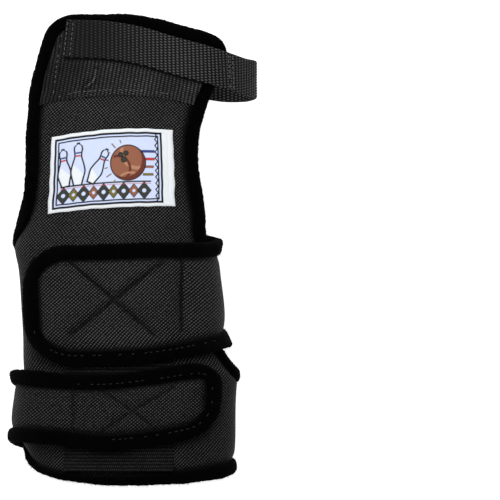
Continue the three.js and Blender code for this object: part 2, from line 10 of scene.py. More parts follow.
import bpy
import numpy as np
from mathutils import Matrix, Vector


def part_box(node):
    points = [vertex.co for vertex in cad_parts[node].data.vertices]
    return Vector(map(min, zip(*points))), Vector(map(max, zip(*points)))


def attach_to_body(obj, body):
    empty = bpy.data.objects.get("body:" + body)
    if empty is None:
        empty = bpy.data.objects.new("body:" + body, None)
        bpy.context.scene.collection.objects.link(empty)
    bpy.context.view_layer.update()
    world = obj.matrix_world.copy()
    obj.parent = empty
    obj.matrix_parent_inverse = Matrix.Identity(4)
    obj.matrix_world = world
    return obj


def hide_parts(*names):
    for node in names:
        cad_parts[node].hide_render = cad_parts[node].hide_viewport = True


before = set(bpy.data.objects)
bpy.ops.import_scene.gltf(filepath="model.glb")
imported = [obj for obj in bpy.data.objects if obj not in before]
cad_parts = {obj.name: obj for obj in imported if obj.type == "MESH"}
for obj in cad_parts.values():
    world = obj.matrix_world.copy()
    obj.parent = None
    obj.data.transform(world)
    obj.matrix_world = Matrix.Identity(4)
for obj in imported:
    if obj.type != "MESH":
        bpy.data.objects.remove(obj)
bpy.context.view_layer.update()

MM = 0.001  # metres
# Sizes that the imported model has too.
LENGTH = 236
HALF_WIDTH = 51
ARCH_HEIGHT = 40
BELT_HEIGHT = 17
ARCH_POWER = 2.2
LINING_THICKNESS = 1
PANEL_THICKNESS = 2.8
STRAP_THICKNESS = 3
TAPE_WIDTH = 7
TAPE_PROUD = 1.3
LOOP_THICKNESS = 1
HOOK_THICKNESS = 1.1
LABEL_THICKNESS = 0.7
GAP = 0.3
LAP_GAP = 0.6
WEBBING_WIDTH = 19
WEBBING_THICKNESS = 1.6
WEBBING_CLEARANCE = 0.8
SEAM_TURN = 0.29

# Heights over the tube's inner wall.
PANEL_IN = LINING_THICKNESS + GAP
PANEL_OUT = PANEL_IN + PANEL_THICKNESS
STRAP_IN = PANEL_OUT - STRAP_THICKNESS
TAPE_OUT = PANEL_OUT + TAPE_PROUD
TAPE_IN = -TAPE_PROUD
PATCH_IN = PANEL_OUT + GAP
LOOP_OUT = PATCH_IN + LOOP_THICKNESS
LIFT = max(TAPE_OUT, LOOP_OUT) + LAP_GAP - (STRAP_IN - TAPE_PROUD)
FLOOR = TAPE_OUT
STRAP_TOP = PANEL_OUT + LIFT


def rows(names, *values):
    """A table: one dict for each row of values, under the names of its columns."""
    return [dict(zip(names.split(), row)) for row in values]


# The tube's inner wall: shares of LENGTH, HALF_WIDTH, HALF_WIDTH, ARCH_HEIGHT and BELT_HEIGHT.
SECTIONS = rows(
    "at left right top belt",
    (0, 0.865, 0.99, 1, 1), (0.07, 0.885, 1, 0.985, 1), (0.1, 0.93, 1.005, 0.98, 1),
    (0.2, 0.89, 1.015, 0.96, 1), (0.24, 0.915, 1.03, 0.95, 1), (0.257, 0.918, 1, 0.945, 1),
    (0.272, 0.92, 0.95, 0.942, 1), (0.291, 0.922, 0.88, 0.94, 1), (0.31, 0.925, 0.82, 0.936, 1),
    (0.33, 0.93, 0.785, 0.93, 1), (0.4, 0.945, 0.75, 0.915, 1), (0.46, 0.97, 0.72, 0.9, 1),
    (0.51, 1.01, 0.735, 0.89, 1), (0.55, 0.985, 0.785, 0.885, 0.95), (0.58, 0.995, 0.83, 0.88, 0.9),
    (0.66, 1.05, 0.88, 0.87, 0.7), (0.76, 1.075, 0.94, 0.85, 0.55), (0.86, 1.035, 1.065, 0.81, 0.5),
    (0.94, 0.985, 1.14, 0.76, 0.5), (1, 0.965, 1.155, 0.71, 0.5),
)
# The panel cloth's side edges, as shares of the way round the tube from the middle of the back.
PANEL_EDGES = rows(
    "at left right",
    (0, 0.25, 0.29), (0.19, 0.252, 0.29), (0.212, 0.264, 0.29), (0.219, 0.269, 0.266),
    (0.227, 0.275, 0.243), (0.236, 0.281, 0.225), (0.25, 0.29, 0.212), (0.265, 0.29, 0.208),
    (0.285, 0.29, 0.21), (0.33, 0.29, 0.218), (0.4, 0.29, 0.226), (0.474, 0.29, 0.217),
    (0.49, 0.278, 0.211), (0.505, 0.262, 0.205), (0.52, 0.243, 0.198), (0.53, 0.232, 0.193),
    (0.54, 0.222, 0.187), (0.555, 0.21, 0.181), (0.57, 0.2, 0.176), (0.6, 0.186, 0.167),
    (0.65, 0.172, 0.155), (0.7, 0.167, 0.146), (0.76, 0.166, 0.144), (0.83, 0.168, 0.15),
    (0.9, 0.164, 0.168), (0.95, 0.156, 0.181), (1, 0.149, 0.191),
)
UPPER_SEAM = (0.25, 0.474)
LOWER_SEAM_TOP = 0.212
# How far the panel cloth's two ends stand in from the ends of the glove, as shares of LENGTH.
HEM = rows(
    "across rise",
    (0, 0.1), (0.07, 0.0775), (0.13, 0.058), (0.28, 0.0385), (0.5, 0.0325), (0.75, 0.04), (0.9, 0.0535),
    (1, 0.0605),
)
KNUCKLE = rows(
    "across rise",
    (0, 0.0275), (0.28, 0.0255), (0.42, 0.0265), (0.59, 0.036), (0.72, 0.0485), (0.88, 0.06), (1, 0.073),
)
HEM_CORNERS = (12, 0)
KNUCKLE_CORNERS = (13.5, 11.8)
# Width of the tape that shows along the hem, from its left corner, and where up the left side it is full.
HEM_TAPE = rows(
    "across width", (0, 2.6), (0.13, 2.6), (0.28, 3.5), (0.5, 4.7), (0.75, 6.2), (1, 7)
)
HEM_TAPE_FADE = (0.08, 0.17)
# Cloth edges of the straps. turn is how far round the tube the strap has run.
UPPER_STRAP = rows(
    "turn top bottom",
    (0.29, 0.474, 0.25), (0.34, 0.475, 0.262), (0.38, 0.48, 0.284), (0.44, 0.49, 0.3),
    (0.51, 0.504, 0.313), (0.585, 0.515, 0.33), (0.65, 0.515, 0.342), (0.72, 0.499, 0.336),
    (0.8, 0.489, 0.317), (0.9, 0.489, 0.298), (1, 0.485, 0.288), (1.2, 0.482, 0.284),
)
LOWER_STRAP = rows(
    "turn top bottom",
    (0.29, 0.212, 0.067), (0.36, 0.189, 0.071), (0.44, 0.185, 0.082), (0.51, 0.186, 0.088),
    (0.6, 0.187, 0.09), (0.68, 0.2, 0.103), (0.76, 0.219, 0.122), (0.85, 0.213, 0.119),
    (0.95, 0.211, 0.108), (1.05, 0.222, 0.117), (1.12, 0.233, 0.132), (1.18, 0.237, 0.15),
)
UPPER_END = dict(turn=1.168, top=15, bottom=14)
LOWER_END = dict(turn=1.152, top=4, bottom=9)
LIFT_TURNS = (0.648, 0.706)
TAPE_TAPER_TURNS = (0.3, 0.37)
TAPE_CLEAR_TURN = 0.02
LABEL = dict(x=-0.131, y=0.672, width=63, height=39.5, bow=2.6, fan=0.035)
# How the label's corners stand off a true patch: in from its sides and up, and the bow added along its edges.
LABEL_SET = dict(
    left=dict(bottom=1.35, top=3.4),
    right=dict(bottom=0.9, top=1.9),
    rise=dict(bottom=(-1.2, 0.35), top=(-2.4, -0.85)),
    bow=dict(bottom=1.27, top=-0.5),
)
WRIST_LOOP = dict(x=-0.05, y=0.2275, width=52, height=92, bow=0, fan=0)
KNUCKLE_LOOP = dict(height=38, bow=5, side=0.01)
HOOK_INSET = 3
# The knuckle strap's middle line: over the hand, then free round its side and under the palm, then sewn.
KNUCKLE_TOP = rows(
    "x y", (-0.535, 0.951), (-0.15, 0.947), (0.16, 0.935), (0.46, 0.915), (0.76, 0.896), (0.92, 0.884)
)
KNUCKLE_FREE = rows(
    "x z y",
    (1.18, 0.58, 0.87), (1.285, 0.33, 0.865), (1.2, 0.11, 0.859), (1, 0.02, 0.858), (0.85, 0.004, 0.862),
    (0.5, 0.004, 0.878), (0.1, 0.004, 0.905), (-0.3, 0.004, 0.926), (-0.44, 0.02, 0.933),
    (-0.56, 0.1, 0.937), (-0.64, 0.27, 0.938), (-0.65, 0.45, 0.938),
)
KNUCKLE_SEWN = rows("x y", (-0.6, 0.937), (-0.5, 0.937))

# The photograph: pixels for each millimetre, and the pixels of the tube's middle line and of the hem.
PHOTO_SCALE = 2
PHOTO_MIDDLE = 124.5
PHOTO_HEM = 487
PHOTO_SIZE = 500


def photo(x, y=0):
    """A point of the photograph in millimetres."""
    return (x - PHOTO_MIDDLE) / PHOTO_SCALE, (PHOTO_HEM - y) / PHOTO_SCALE


# Quilting lines on the back of the hand, by the photograph's pixels.
UPPER_QUILT = [
    (photo(70, 262), photo(155, 335)), (photo(162, 262), photo(70, 335)), (photo(182, 257), photo(182, 330))
]
LOWER_QUILT = [
    (photo(73, 379), photo(73, 444)), (photo(100, 388), photo(152, 425)), (photo(174, 386), photo(98, 433))
]
# Each strap: its outline, the side that it runs to, its quilting lines, the turns between which its hook
# patch lies, how far it puffs up beside the hand, how deep its lines are sewn, how far painted shade
# darkens all of it, and its unevenness: how high and how wide the humps are, and the seed of their places.
STRAPS = dict(
    upper=dict(
        table=UPPER_STRAP, end=UPPER_END, way=-1, lines=UPPER_QUILT, hook=(0.895, 1.15),
        puff=1.1, depth=1, darkening=1, bumps=(0.3, 22, 10),
    ),
    lower=dict(
        table=LOWER_STRAP, end=LOWER_END, way=1, lines=LOWER_QUILT, hook=(0.9, 1.13),
        puff=0.1, depth=0.6, darkening=0.9, bumps=(0.3, 22, 12),
    ),
)
BACK_TURN = 0.8  # from here a strap lies on the back of the hand


# Numbers and tables

UNEVEN_WAVES = 7


def read(table, by, name, value):
    """A column's value between its rows, on a smooth curve."""
    at, values = (np.array([row[key] for row in table], float) for key in (by, name))
    index = np.arange(len(at))
    low, high = np.maximum(index - 1, 0), np.minimum(index + 1, index[-1])
    slope = (values[high] - values[low]) / (at[high] - at[low])
    value = np.clip(value, at[0], at[-1])
    i = np.clip(np.searchsorted(at, value, side="right") - 1, 0, index[-1] - 1)
    span = at[i + 1] - at[i]
    t = (value - at[i]) / span
    near = values[i] * (1 + 2 * t) + slope[i] * span * t
    far = values[i + 1] * (3 - 2 * t) - slope[i + 1] * span * (1 - t)
    return near * (1 - t) ** 2 + far * t**2


def smooth(t):
    return t * t * (3 - 2 * t)


def share(value, low, high):
    return np.clip((value - low) / (high - low), 0, 1)


def mix(a, b, t):
    return a + (b - a) * t


def unit(vectors):
    return vectors / np.linalg.norm(vectors, axis=-1, keepdims=True)


def valley(distance, width):
    return np.exp(-((distance / width) ** 2))


def valleys(distance, sizes):
    """Valleys laid over each other, each given with its depth and width."""
    return sum(depth * valley(distance, width) for depth, width in sizes)


def crowded(count, even):
    """From 0 to 1, in steps that grow closer to both ends. With even at 1 they are all alike."""
    return mix((1 - np.cos(np.linspace(0, math.pi, count))) / 2, np.linspace(0, 1, count), even)


def run_along(points):
    """How far along a path each of its points is."""
    return np.concatenate([[0], np.cumsum(np.linalg.norm(np.diff(points, axis=0), axis=1))])


def places(goal, run, points):
    """Points of a path at other distances along it."""
    return np.stack([np.interp(goal, run, column) for column in points.T], 1)


def uneven(u, v, rise, size, seed):
    """Gentle unevenness from -rise to rise, with humps about size millimetres apart."""
    rng = np.random.default_rng(seed)
    total = 0 * (u + v)
    for _ in range(UNEVEN_WAVES):
        angle = rng.uniform(0, 2 * math.pi)
        wave = 2 * math.pi / (size * rng.uniform(0.7, 1.6))
        total = total + np.sin(wave * (u * math.cos(angle) + v * math.sin(angle)) + rng.uniform(0, 6.3))
    return rise * total / 4


def distance_to(x, y, lines):
    """Distance of points from the nearest of some straight lines, each between two points."""
    away = []
    for (ax, ay), (bx, by) in lines:
        dx, dy = bx - ax, by - ay
        t = np.clip(((x - ax) * dx + (y - ay) * dy) / (dx * dx + dy * dy), 0, 1)
        away.append(np.hypot(x - ax - t * dx, y - ay - t * dy))
    return np.minimum.reduce(away)


# The tube that every layer lies on

OUTLINE_STEPS = 320
SECTION_STEP = 0.5
SECTION_MARGIN = 20
SHORT = 1.001  # how far a place in a grid stays short of the grid's size
SOLVE_STEPS = 60


def make_sections():
    """Half outlines of the inner wall: a row for each section, from the crest round to the palm side."""
    y = np.arange(-SECTION_MARGIN, LENGTH + SECTION_MARGIN, SECTION_STEP)
    at = y / LENGTH
    left = read(SECTIONS, "at", "left", at) * HALF_WIDTH
    right = read(SECTIONS, "at", "right", at) * HALF_WIDTH
    belt = (read(SECTIONS, "at", "belt", at) * BELT_HEIGHT)[:, None]
    rise = (read(SECTIONS, "at", "top", at) * ARCH_HEIGHT)[:, None] - belt
    reach = ((left + right) / 2)[:, None]
    angle = np.linspace(0, math.pi / 2, OUTLINE_STEPS)[None]
    cos, sin = np.cos(angle), np.sin(angle)
    u, v = sin ** (2 / ARCH_POWER), cos ** (2 / ARCH_POWER)
    arch_nx, arch_nz = u ** (ARCH_POWER - 1) / reach, v ** (ARCH_POWER - 1) / rise
    size = np.hypot(arch_nx, arch_nz)
    none = 0 * reach
    x = np.hstack([reach * u, reach - belt + belt * cos, none])
    z = np.hstack([belt + rise * v, belt - belt * sin, none])
    nx = np.hstack([arch_nx / size, cos + none, none])
    nz = np.hstack([arch_nz / size, -sin + none, none - 1])
    run = np.cumsum(np.hypot(np.diff(x, prepend=x[:, :1]), np.diff(z, prepend=z[:, :1])), axis=1)
    shares = np.linspace(0, 1, OUTLINE_STEPS)
    even = [
        [np.interp(shares * r[-1], r, column) for column in columns]
        for r, *columns in zip(run, x, z, nx, nz)
    ]
    return y[0], np.array(even).transpose(1, 0, 2), (right - left) / 2, 2 * run[:, -1]


FIRST_Y, OUTLINES, MIDDLES, GIRTHS = make_sections()


def girth(y):
    return np.interp(y, FIRST_Y + SECTION_STEP * np.arange(len(GIRTHS)), GIRTHS)


def wall(y, turn, height):
    """Points at y, a turn (a share of the way round from the crest, negative to the left) and a height."""
    y, turn, height = np.broadcast_arrays(*(np.asarray(v, float) for v in (y, turn, height)))
    wrapped = turn - np.round(turn)
    side = np.where(wrapped < 0, -1, 1)
    i = np.clip((y - FIRST_Y) / SECTION_STEP, 0, len(GIRTHS) - SHORT)
    j = np.clip(np.abs(wrapped) * 2 * (OUTLINE_STEPS - 1), 0, OUTLINE_STEPS - SHORT)
    i0, j0 = i.astype(int), j.astype(int)
    s, t = i - i0, j - j0
    low = mix(OUTLINES[:, i0, j0], OUTLINES[:, i0, j0 + 1], t)
    high = mix(OUTLINES[:, i0 + 1, j0], OUTLINES[:, i0 + 1, j0 + 1], t)
    x, z, nx, nz = mix(low, high, s)
    size = np.hypot(nx, nz)
    middle = mix(MIDDLES[i0], MIDDLES[i0 + 1], s)
    return np.stack([middle + side * (x + nx / size * height), y, FLOOR + z + nz / size * height], -1)


def turn_at(y, x, height):
    """The turn, on the back of the hand, at which a layer at this height has this x."""
    y, x = np.broadcast_arrays(np.asarray(y, float), np.asarray(x, float))
    turn = np.zeros(x.shape)
    for _ in range(SOLVE_STEPS):
        turn = turn + (x - wall(y, turn, height)[..., 0]) / girth(y)
    return turn


def strap_lift(turn):
    return LIFT * smooth(share(np.abs(turn), *LIFT_TURNS))


def corner_drop(distance, radius):
    """How far a rounded corner stands back at a distance from the edge that it rounds off."""
    if radius <= 0:
        return 0 * distance
    inside = np.clip(radius - distance, 0, radius)
    return radius - np.sqrt(radius**2 - inside**2)


def patch_grid(patch, columns, across):
    u = np.linspace(-0.5, 0.5, columns)[None] * patch["width"]
    v = np.linspace(-0.5, 0.5, across)[:, None]
    arch = patch["bow"] * (1 - (2 * u / patch["width"]) ** 2) * (v + 0.5)
    y = patch["y"] * LENGTH + v * patch["height"] + arch + patch["fan"] * u
    turn = turn_at(y, patch["x"] * HALF_WIDTH + u, 0)
    return y, turn, np.stack(np.broadcast_arrays(u, v * patch["height"]), -1)


def shift_to_frame():
    """From the tube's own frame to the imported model's, found from where the label lies."""
    steps = 61
    y, turn, _ = patch_grid(LABEL, steps, steps)
    points = np.concatenate([wall(y, turn, PATCH_IN + h).reshape(-1, 3) for h in (0, LABEL_THICKNESS)])
    low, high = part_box("label")
    middle = (np.array(low) + np.array(high)) / 2
    shift = middle - (points.min(0) + points.max(0)) / 2 * MM
    return np.array([shift[0], shift[1], 0])


SHIFT = shift_to_frame()


# Meshes


def place_object(name, data):
    made = bpy.data.objects.new(name, data)
    bpy.context.scene.collection.objects.link(made)
    return made


def make_mesh(name, points, faces, uv, look, node=None):
    """An object from points in millimetres and faces of any size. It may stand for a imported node."""
    mesh = bpy.data.meshes.new(name)
    points = np.maximum(points.reshape(-1, 3), (-np.inf, -np.inf, 0))
    mesh.from_pydata((points * MM + SHIFT).tolist(), [], faces)
    if uv is not None:
        layer = mesh.uv_layers.new(name="cloth")
        loops = np.empty(len(mesh.loops), int)
        mesh.loops.foreach_get("vertex_index", loops)
        layer.data.foreach_set("uv", uv.reshape(-1, 2)[loops].astype(np.float32).ravel())
    mesh.polygons.foreach_set("use_smooth", [True] * len(mesh.polygons))
    material, slot = LOOKS[look]
    mesh.materials.append(material)
    obj = place_object(name, mesh)
    if node:
        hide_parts(node)
    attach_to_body(obj, "root")
    return obj


def attach(obj, name, *values):
    """A value for each point of a mesh, given for its outer and then its inner grid."""
    layer = obj.data.attributes.new(name, "FLOAT", "POINT")
    layer.data.foreach_set("value", np.concatenate([v.ravel() for v in values]).astype(np.float32))


def volume(points, quads):
    a, b, c, d = (points[quads[:, k]] for k in range(4))
    return (np.einsum("ij,ij->i", a, np.cross(b, c)) + np.einsum("ij,ij->i", a, np.cross(c, d))).sum()


def grid_faces(index):
    """Quads between neighbours in a grid of point numbers."""
    corners = index[:-1, :-1], index[:-1, 1:], index[1:, 1:], index[1:, :-1]
    return np.stack([corner.ravel() for corner in corners], 1)


def slab(name, outer, inner, uv, look, node):
    """A closed sheet between two grids of points, with a rim all round."""
    points = np.concatenate([outer.reshape(-1, 3), inner.reshape(-1, 3)])
    index = np.arange(len(points) // 2).reshape(outer.shape[:2])
    border = np.concatenate([index[0], index[1:, -1], index[-1, -2::-1], index[-2:0:-1, 0]])
    following = np.roll(border, -1)
    rim = np.stack([border, border + index.size, following + index.size, following], 1)
    quads = np.concatenate([grid_faces(index), grid_faces(index + index.size)[:, ::-1], rim])
    if volume(points, quads) < 0:
        quads = quads[:, ::-1]
    return make_mesh(name, points, quads.tolist(), np.concatenate([uv.reshape(-1, 2)] * 2), look, node)


def cloth_layer(name, y, turn, heights, look, node, uv=None, painted_shading=None):
    """A slab between two heights over the wall, with painted shade and painted highlights from point to point
    if these are given.
    """
    if uv is None:
        uv = np.stack([turn * girth(y), y], -1)
    piece = slab(name, *(wall(y, turn, height) for height in heights), uv, look, node)
    if painted_shading is not None:
        attach(piece, "painted_shading", painted_shading, painted_shading)
    return piece


def tube(name, rings, uv, look, node):
    """A closed body through rings of points."""
    points = rings.reshape(-1, 3)
    index = np.arange(len(points)).reshape(rings.shape[:2])
    quads, caps = grid_faces(np.hstack([index, index[:, :1]])), [index[0, ::-1], index[-1]]
    if volume(points, quads) < 0:
        quads, caps = quads[:, ::-1], [cap[::-1] for cap in caps]
    return make_mesh(name, points, quads.tolist() + [cap.tolist() for cap in caps], uv, look, node)


# Outlines of the panel and the straps

STRAP_ROOT_TUCK = 0.004
STRAP_CROWDING = 1.25


def tape_saving(y, across):
    """How much narrower than TAPE_WIDTH the tape is by the hem. The cloth goes that much further out."""
    saved = TAPE_WIDTH - read(HEM_TAPE, "across", "width", across)
    return saved * (1 - smooth(share(y / LENGTH, *HEM_TAPE_FADE)))


def panel_edge(y, side):
    edge = side * read(PANEL_EDGES, "at", "left" if side < 0 else "right", y / LENGTH)
    return edge + side * tape_saving(y, 0 if side < 0 else 1) / girth(y)


def panel_sides(y):
    return panel_edge(y, -1), panel_edge(y, 1)


def panel_end(table, across, radii, way):
    """Y of the panel cloth's hem or knuckle edge at each share across."""
    base = 0 if table is HEM else LENGTH
    y = base + way * read(table, "across", "rise", across) * LENGTH
    y = y - way * tape_saving(y, across)
    left_turn, right_turn = panel_sides(y)
    width = (right_turn - left_turn) * girth(y)
    left = corner_drop(across * width, radii[0] - TAPE_WIDTH + tape_saving(base, 0))
    right = corner_drop((1 - across) * width, radii[1] - TAPE_WIDTH)
    return y + way * (left + right)


def panel_grid(along, across):
    """y and turn over the panel: a row for each step from the hem to the knuckles."""
    q = crowded(across, 0.5)
    hem = panel_end(HEM, q, HEM_CORNERS, 1)
    knuckle = panel_end(KNUCKLE, q, KNUCKLE_CORNERS, -1)
    y = mix(hem[None], knuckle[None], crowded(along, 0.6)[:, None])
    return y, mix(*panel_sides(y), q[None])


def strap_edges(table, end, turn):
    """Top and bottom edge of a strap's cloth at each turn."""
    left = (end["turn"] - turn) * girth(read(table, "turn", "top", 1) * LENGTH)
    top = read(table, "turn", "top", turn) * LENGTH - corner_drop(left, end["top"])
    bottom = read(table, "turn", "bottom", turn) * LENGTH + corner_drop(left, end["bottom"])
    return top, bottom


def strap_turns(end, count, start):
    """Turns along a strap, closer together in its rounded end."""
    return mix(start, end["turn"], 1 - (1 - np.linspace(0, 1, count)) ** STRAP_CROWDING)


def strap_grid(table, end, along, across):
    turn = strap_turns(end, along, SEAM_TURN - STRAP_ROOT_TUCK)
    top, bottom = strap_edges(table, end, turn)
    y = mix(top[:, None], bottom[:, None], np.linspace(0, 1, across)[None])
    return y, np.repeat(turn[:, None], across, axis=1)


# Materials


class Shader:
    """A material whose nodes are made by short calls."""

    def __init__(self, name):
        self.material = bpy.data.materials.new(name)
        self.material.use_nodes = True
        self.tree = self.material.node_tree
        self.surface = self.tree.nodes["Principled BSDF"]

    def node(self, kind, *inputs, **settings):
        made = self.tree.nodes.new(kind)
        for key, value in settings.items():
            setattr(made, key, value)
        return self.feed(made, dict(enumerate(inputs)))

    def feed(self, node, inputs):
        """Link or set inputs of a node, given by name or number. None leaves one as it is."""
        for key, value in inputs.items():
            if isinstance(value, bpy.types.NodeSocket):
                self.tree.links.new(value, node.inputs[key])
            elif value is not None:
                node.inputs[key].default_value = value
        return node

    def math(self, operation, *inputs):
        return self.node("ShaderNodeMath", *inputs, operation=operation).outputs[0]

    def times(self, a, b):
        return self.math("MULTIPLY", a, b)

    def over(self, a, b):
        return self.math("DIVIDE", a, b)

    def plus(self, a, b):
        return self.math("ADD", a, b)

    def level(self, factor, low, high):
        """factor from 0 to 1 turned into low to high."""
        return self.math("MULTIPLY_ADD", factor, high - low, low)

    def hump(self, place):
        """Height over one thread, from 0 at its sides to 1 on its crest, for a place counted in threads."""
        return self.math("ABSOLUTE", self.math("SINE", self.times(place, math.pi)))

    def point(self, x, y):
        return self.node("ShaderNodeCombineXYZ", x, y, 0.0).outputs[0]

    def attribute(self, name, output="Fac"):
        return self.node("ShaderNodeAttribute", attribute_name=name).outputs[output]

    def noise(self, where, scale, detail=3.0, roughness=0.55):
        return self.node("ShaderNodeTexNoise", where, None, scale, detail, roughness).outputs["Fac"]

    def ramp(self, factor, *stops):
        """factor turned into greys, each given with its place."""
        made = self.node("ShaderNodeValToRGB", factor)
        elements = made.color_ramp.elements
        while len(elements) < len(stops):
            elements.new(0.5)
        for element, (place, value) in zip(elements, stops):
            element.position = place
            element.color = (*grey(value), 1)
        return made.outputs[0]

    def mix(self, factor, a, b):
        made = self.node("ShaderNodeMix", data_type="RGBA")
        return self.feed(made, {"Factor": factor, "A": a, "B": b}).outputs["Result"]

    def bump(self, height, distance):
        made = self.node("ShaderNodeBump")
        return self.feed(made, {"Strength": 1.0, "Distance": distance, "Height": height}).outputs[0]

    def multiply_colours(self, a, b):
        return self.node("ShaderNodeVectorMath", a, b, operation="MULTIPLY").outputs[0]

    def finish(self, colour, roughness, normal, specular, sheen=0.0, tint=(1, 1, 1), sheen_roughness=0.5):
        sockets = {
            "Base Color": (*colour, 1) if isinstance(colour, tuple) else colour,
            "Roughness": roughness,
            "Normal": normal,
            "Specular IOR Level": specular,
            "Sheen Weight": sheen,
            "Sheen Tint": (*tint, 1),
            "Sheen Roughness": sheen_roughness,
        }
        self.feed(self.surface, sockets)
        return self.material


def grey(value):
    return (value, value, value)


def cloth_shader(name):
    """A shader with the two coordinates that lie in its cloth, in millimetres, and the point they make."""
    s = Shader(name)
    u, v, _ = s.node("ShaderNodeSeparateXYZ", s.node("ShaderNodeUVMap", uv_map="cloth").outputs[0]).outputs
    return s, u, v, s.point(u, v)


COOL = (0.8, 0.8, 0.85)  # tint of the light that lies on suede and plush


def nylon_cloth():
    """Coarse plain-woven nylon. Light falls along one diagonal of its weave, so it reads as slanting ribs."""
    s, u, v, where = cloth_shader("nylon_cloth")
    pitch = 0.87
    sway = s.level(s.noise(where, 0.09, 2.0), -0.6, 0.6)
    a = s.over(s.plus(u, sway), pitch)
    b = s.over(s.plus(v, sway), pitch * 0.97)
    rising = s.math("COSINE", s.times(s.math("SUBTRACT", a, b), math.pi))
    falling = s.math("COSINE", s.times(s.plus(a, b), math.pi))
    lean = s.level(s.noise(where, 0.035, 2.0), 0.35, 0.95)
    checks = s.math("SUBTRACT", rising, s.times(falling, lean))
    fibre = s.noise(s.point(s.times(u, 5.0), s.times(v, 5.0)), 1.0, 2.0)
    speck = s.noise(where, 0.7, 2.0, 0.6)
    cast = s.noise(where, 0.05)
    # Painted sheen: the weave's checks are painted lighter and darker, and the painted shade given for each
    # point is laid over them.
    weave = s.level(checks, 0.45, 0.98)
    tone = s.times(weave, s.times(s.level(fibre, 0.8, 1.2), s.level(speck, 0.4, 1.6)))
    tone = s.times(tone, s.times(s.level(cast, 0.75, 1.25), s.attribute("painted_shading")))
    colour = s.ramp(tone, (0.2, 0.0004), (0.48, 0.003), (0.8, 0.0175), (1.0, 0.062))
    normal = s.bump(s.math("MULTIPLY_ADD", fibre, 0.1, weave), 0.00016)
    return s.finish(colour, s.level(fibre, 0.6, 0.8), normal, 0.06, 0.015)


def suede():
    s, _, _, where = cloth_shader("suede")
    nap = s.noise(where, 3.2, 4.0, 0.7)
    tone = s.times(nap, s.level(s.noise(where, 0.09, 2.0), 0.5, 1.4))
    colour = s.ramp(tone, (0.2, 0.0015), (0.8, 0.006))
    return s.finish(colour, 0.95, s.bump(nap, 0.00015), 0.04, 0.03, COOL, 0.6)


def plush():
    """Deep black pile that catches light only at grazing angles."""
    s, _, _, where = cloth_shader("plush_tape")
    pile = s.noise(where, 5.0, 4.0, 0.75)
    tone = s.times(pile, s.level(s.noise(where, 0.22), 0.4, 1.5))
    colour = s.ramp(tone, (0.3, 0.0002), (0.65, 0.0009), (1.0, 0.007))
    return s.finish(colour, 1.0, s.bump(pile, 0.0003), 0.01, 0.012, COOL)


def plush_fibre():
    return Shader("plush_fibre").finish(grey(0.004), 1.0, None, 0.02)


def webbing_cloth():
    s, u, v, _ = cloth_shader("webbing")
    fibre = s.noise(s.point(s.times(u, 2.0), s.times(v, 12.0)), 1.0)
    # Painted light: the floats are painted bright on their tops and dark between them, by their relief.
    tone = s.times(s.attribute("relief"), s.level(fibre, 0.6, 1.3))
    colour = s.ramp(tone, (0.12, 0.0003), (0.5, 0.0035), (1.0, 0.088))
    return s.finish(colour, s.level(fibre, 0.45, 0.65), s.bump(fibre, 0.00008), 0.1, 0.02)


def pile_cloth(name, turned, pitch, light):
    """Loop pile in ribs: along the glove, or across it if turned."""
    s, u, v, where = cloth_shader(name)
    a, b = (v, u) if turned else (u, v)
    sway = s.level(s.noise(where, 0.5, 2.0), -0.35, 0.35)
    rib = s.hump(s.over(s.plus(a, sway), pitch))
    loops = s.hump(s.plus(s.over(b, pitch * 0.55), s.over(a, pitch * 2)))
    tuft = s.noise(s.point(s.times(a, 1.6), b), 0.9, 3.0, 0.7)
    height = s.times(s.times(s.level(rib, 0.25, 0.95), s.level(loops, 0.3, 1.1)), s.level(tuft, 0.2, 1.7))
    cast = s.level(s.noise(where, 0.07, 2.0), 0.7, 1.2)
    # Painted light: the pile is painted brighter on its ribs and loops and darker between them, and the
    # painted shade and highlights given for each point are laid over it.
    tone = s.times(s.times(height, cast), s.attribute("painted_shading"))
    colour = s.ramp(tone, (0.1, 0.001), (0.45, 0.008 * light), (0.8, 0.034 * light), (1.0, 0.08 * light))
    return s.finish(colour, 0.85, s.bump(height, 0.0003), 0.05, 0.02)


def woven_grain(s, u, v, wide, tall):
    """Humps of wide by tall millimetres."""
    return s.times(s.hump(s.over(u, wide)), s.hump(s.over(v, tall)))


def hook_cloth():
    s, u, v, _ = cloth_shader("hook_tape")
    hooks = woven_grain(s, u, v, 0.9, 0.7)
    # Painted light: the hooks are painted brighter on their tops and darker between them.
    return s.finish(s.ramp(hooks, (0.2, 0.003), (0.9, 0.03)), 0.5, s.bump(hooks, 0.0005), 0.2)


def label_cloth():
    s, u, v, where = cloth_shader("label_cloth")
    grain = woven_grain(s, u, v, 0.26, 0.34)
    clean = (1, 1, 1, 1)
    darkening = s.mix(s.level(s.noise(where, 0.16, 4.0), 0.0, 0.16), clean, (0.5, 0.5, 0.54, 1))
    # Painted shade in the hollows between the label's threads.
    dip = s.mix(s.level(grain, 0.14, 0.0), clean, (0.4, 0.42, 0.48, 1))
    colour = s.multiply_colours(s.multiply_colours(darkening, dip), s.attribute("print", "Color"))
    return s.finish(colour, s.level(grain, 0.7, 0.6), s.bump(grain, 0.00005), 0.1, 0.02)


def thread(name, value):
    s = Shader(name)
    twist = s.noise(s.node("ShaderNodeTexCoord").outputs["Object"], 2600.0, 2.0)
    colour = s.ramp(twist, (0.3, value * 0.7), (0.75, value * 1.25))
    return s.finish(colour, 0.6, s.bump(twist, 0.00005), 0.1, 0.02)


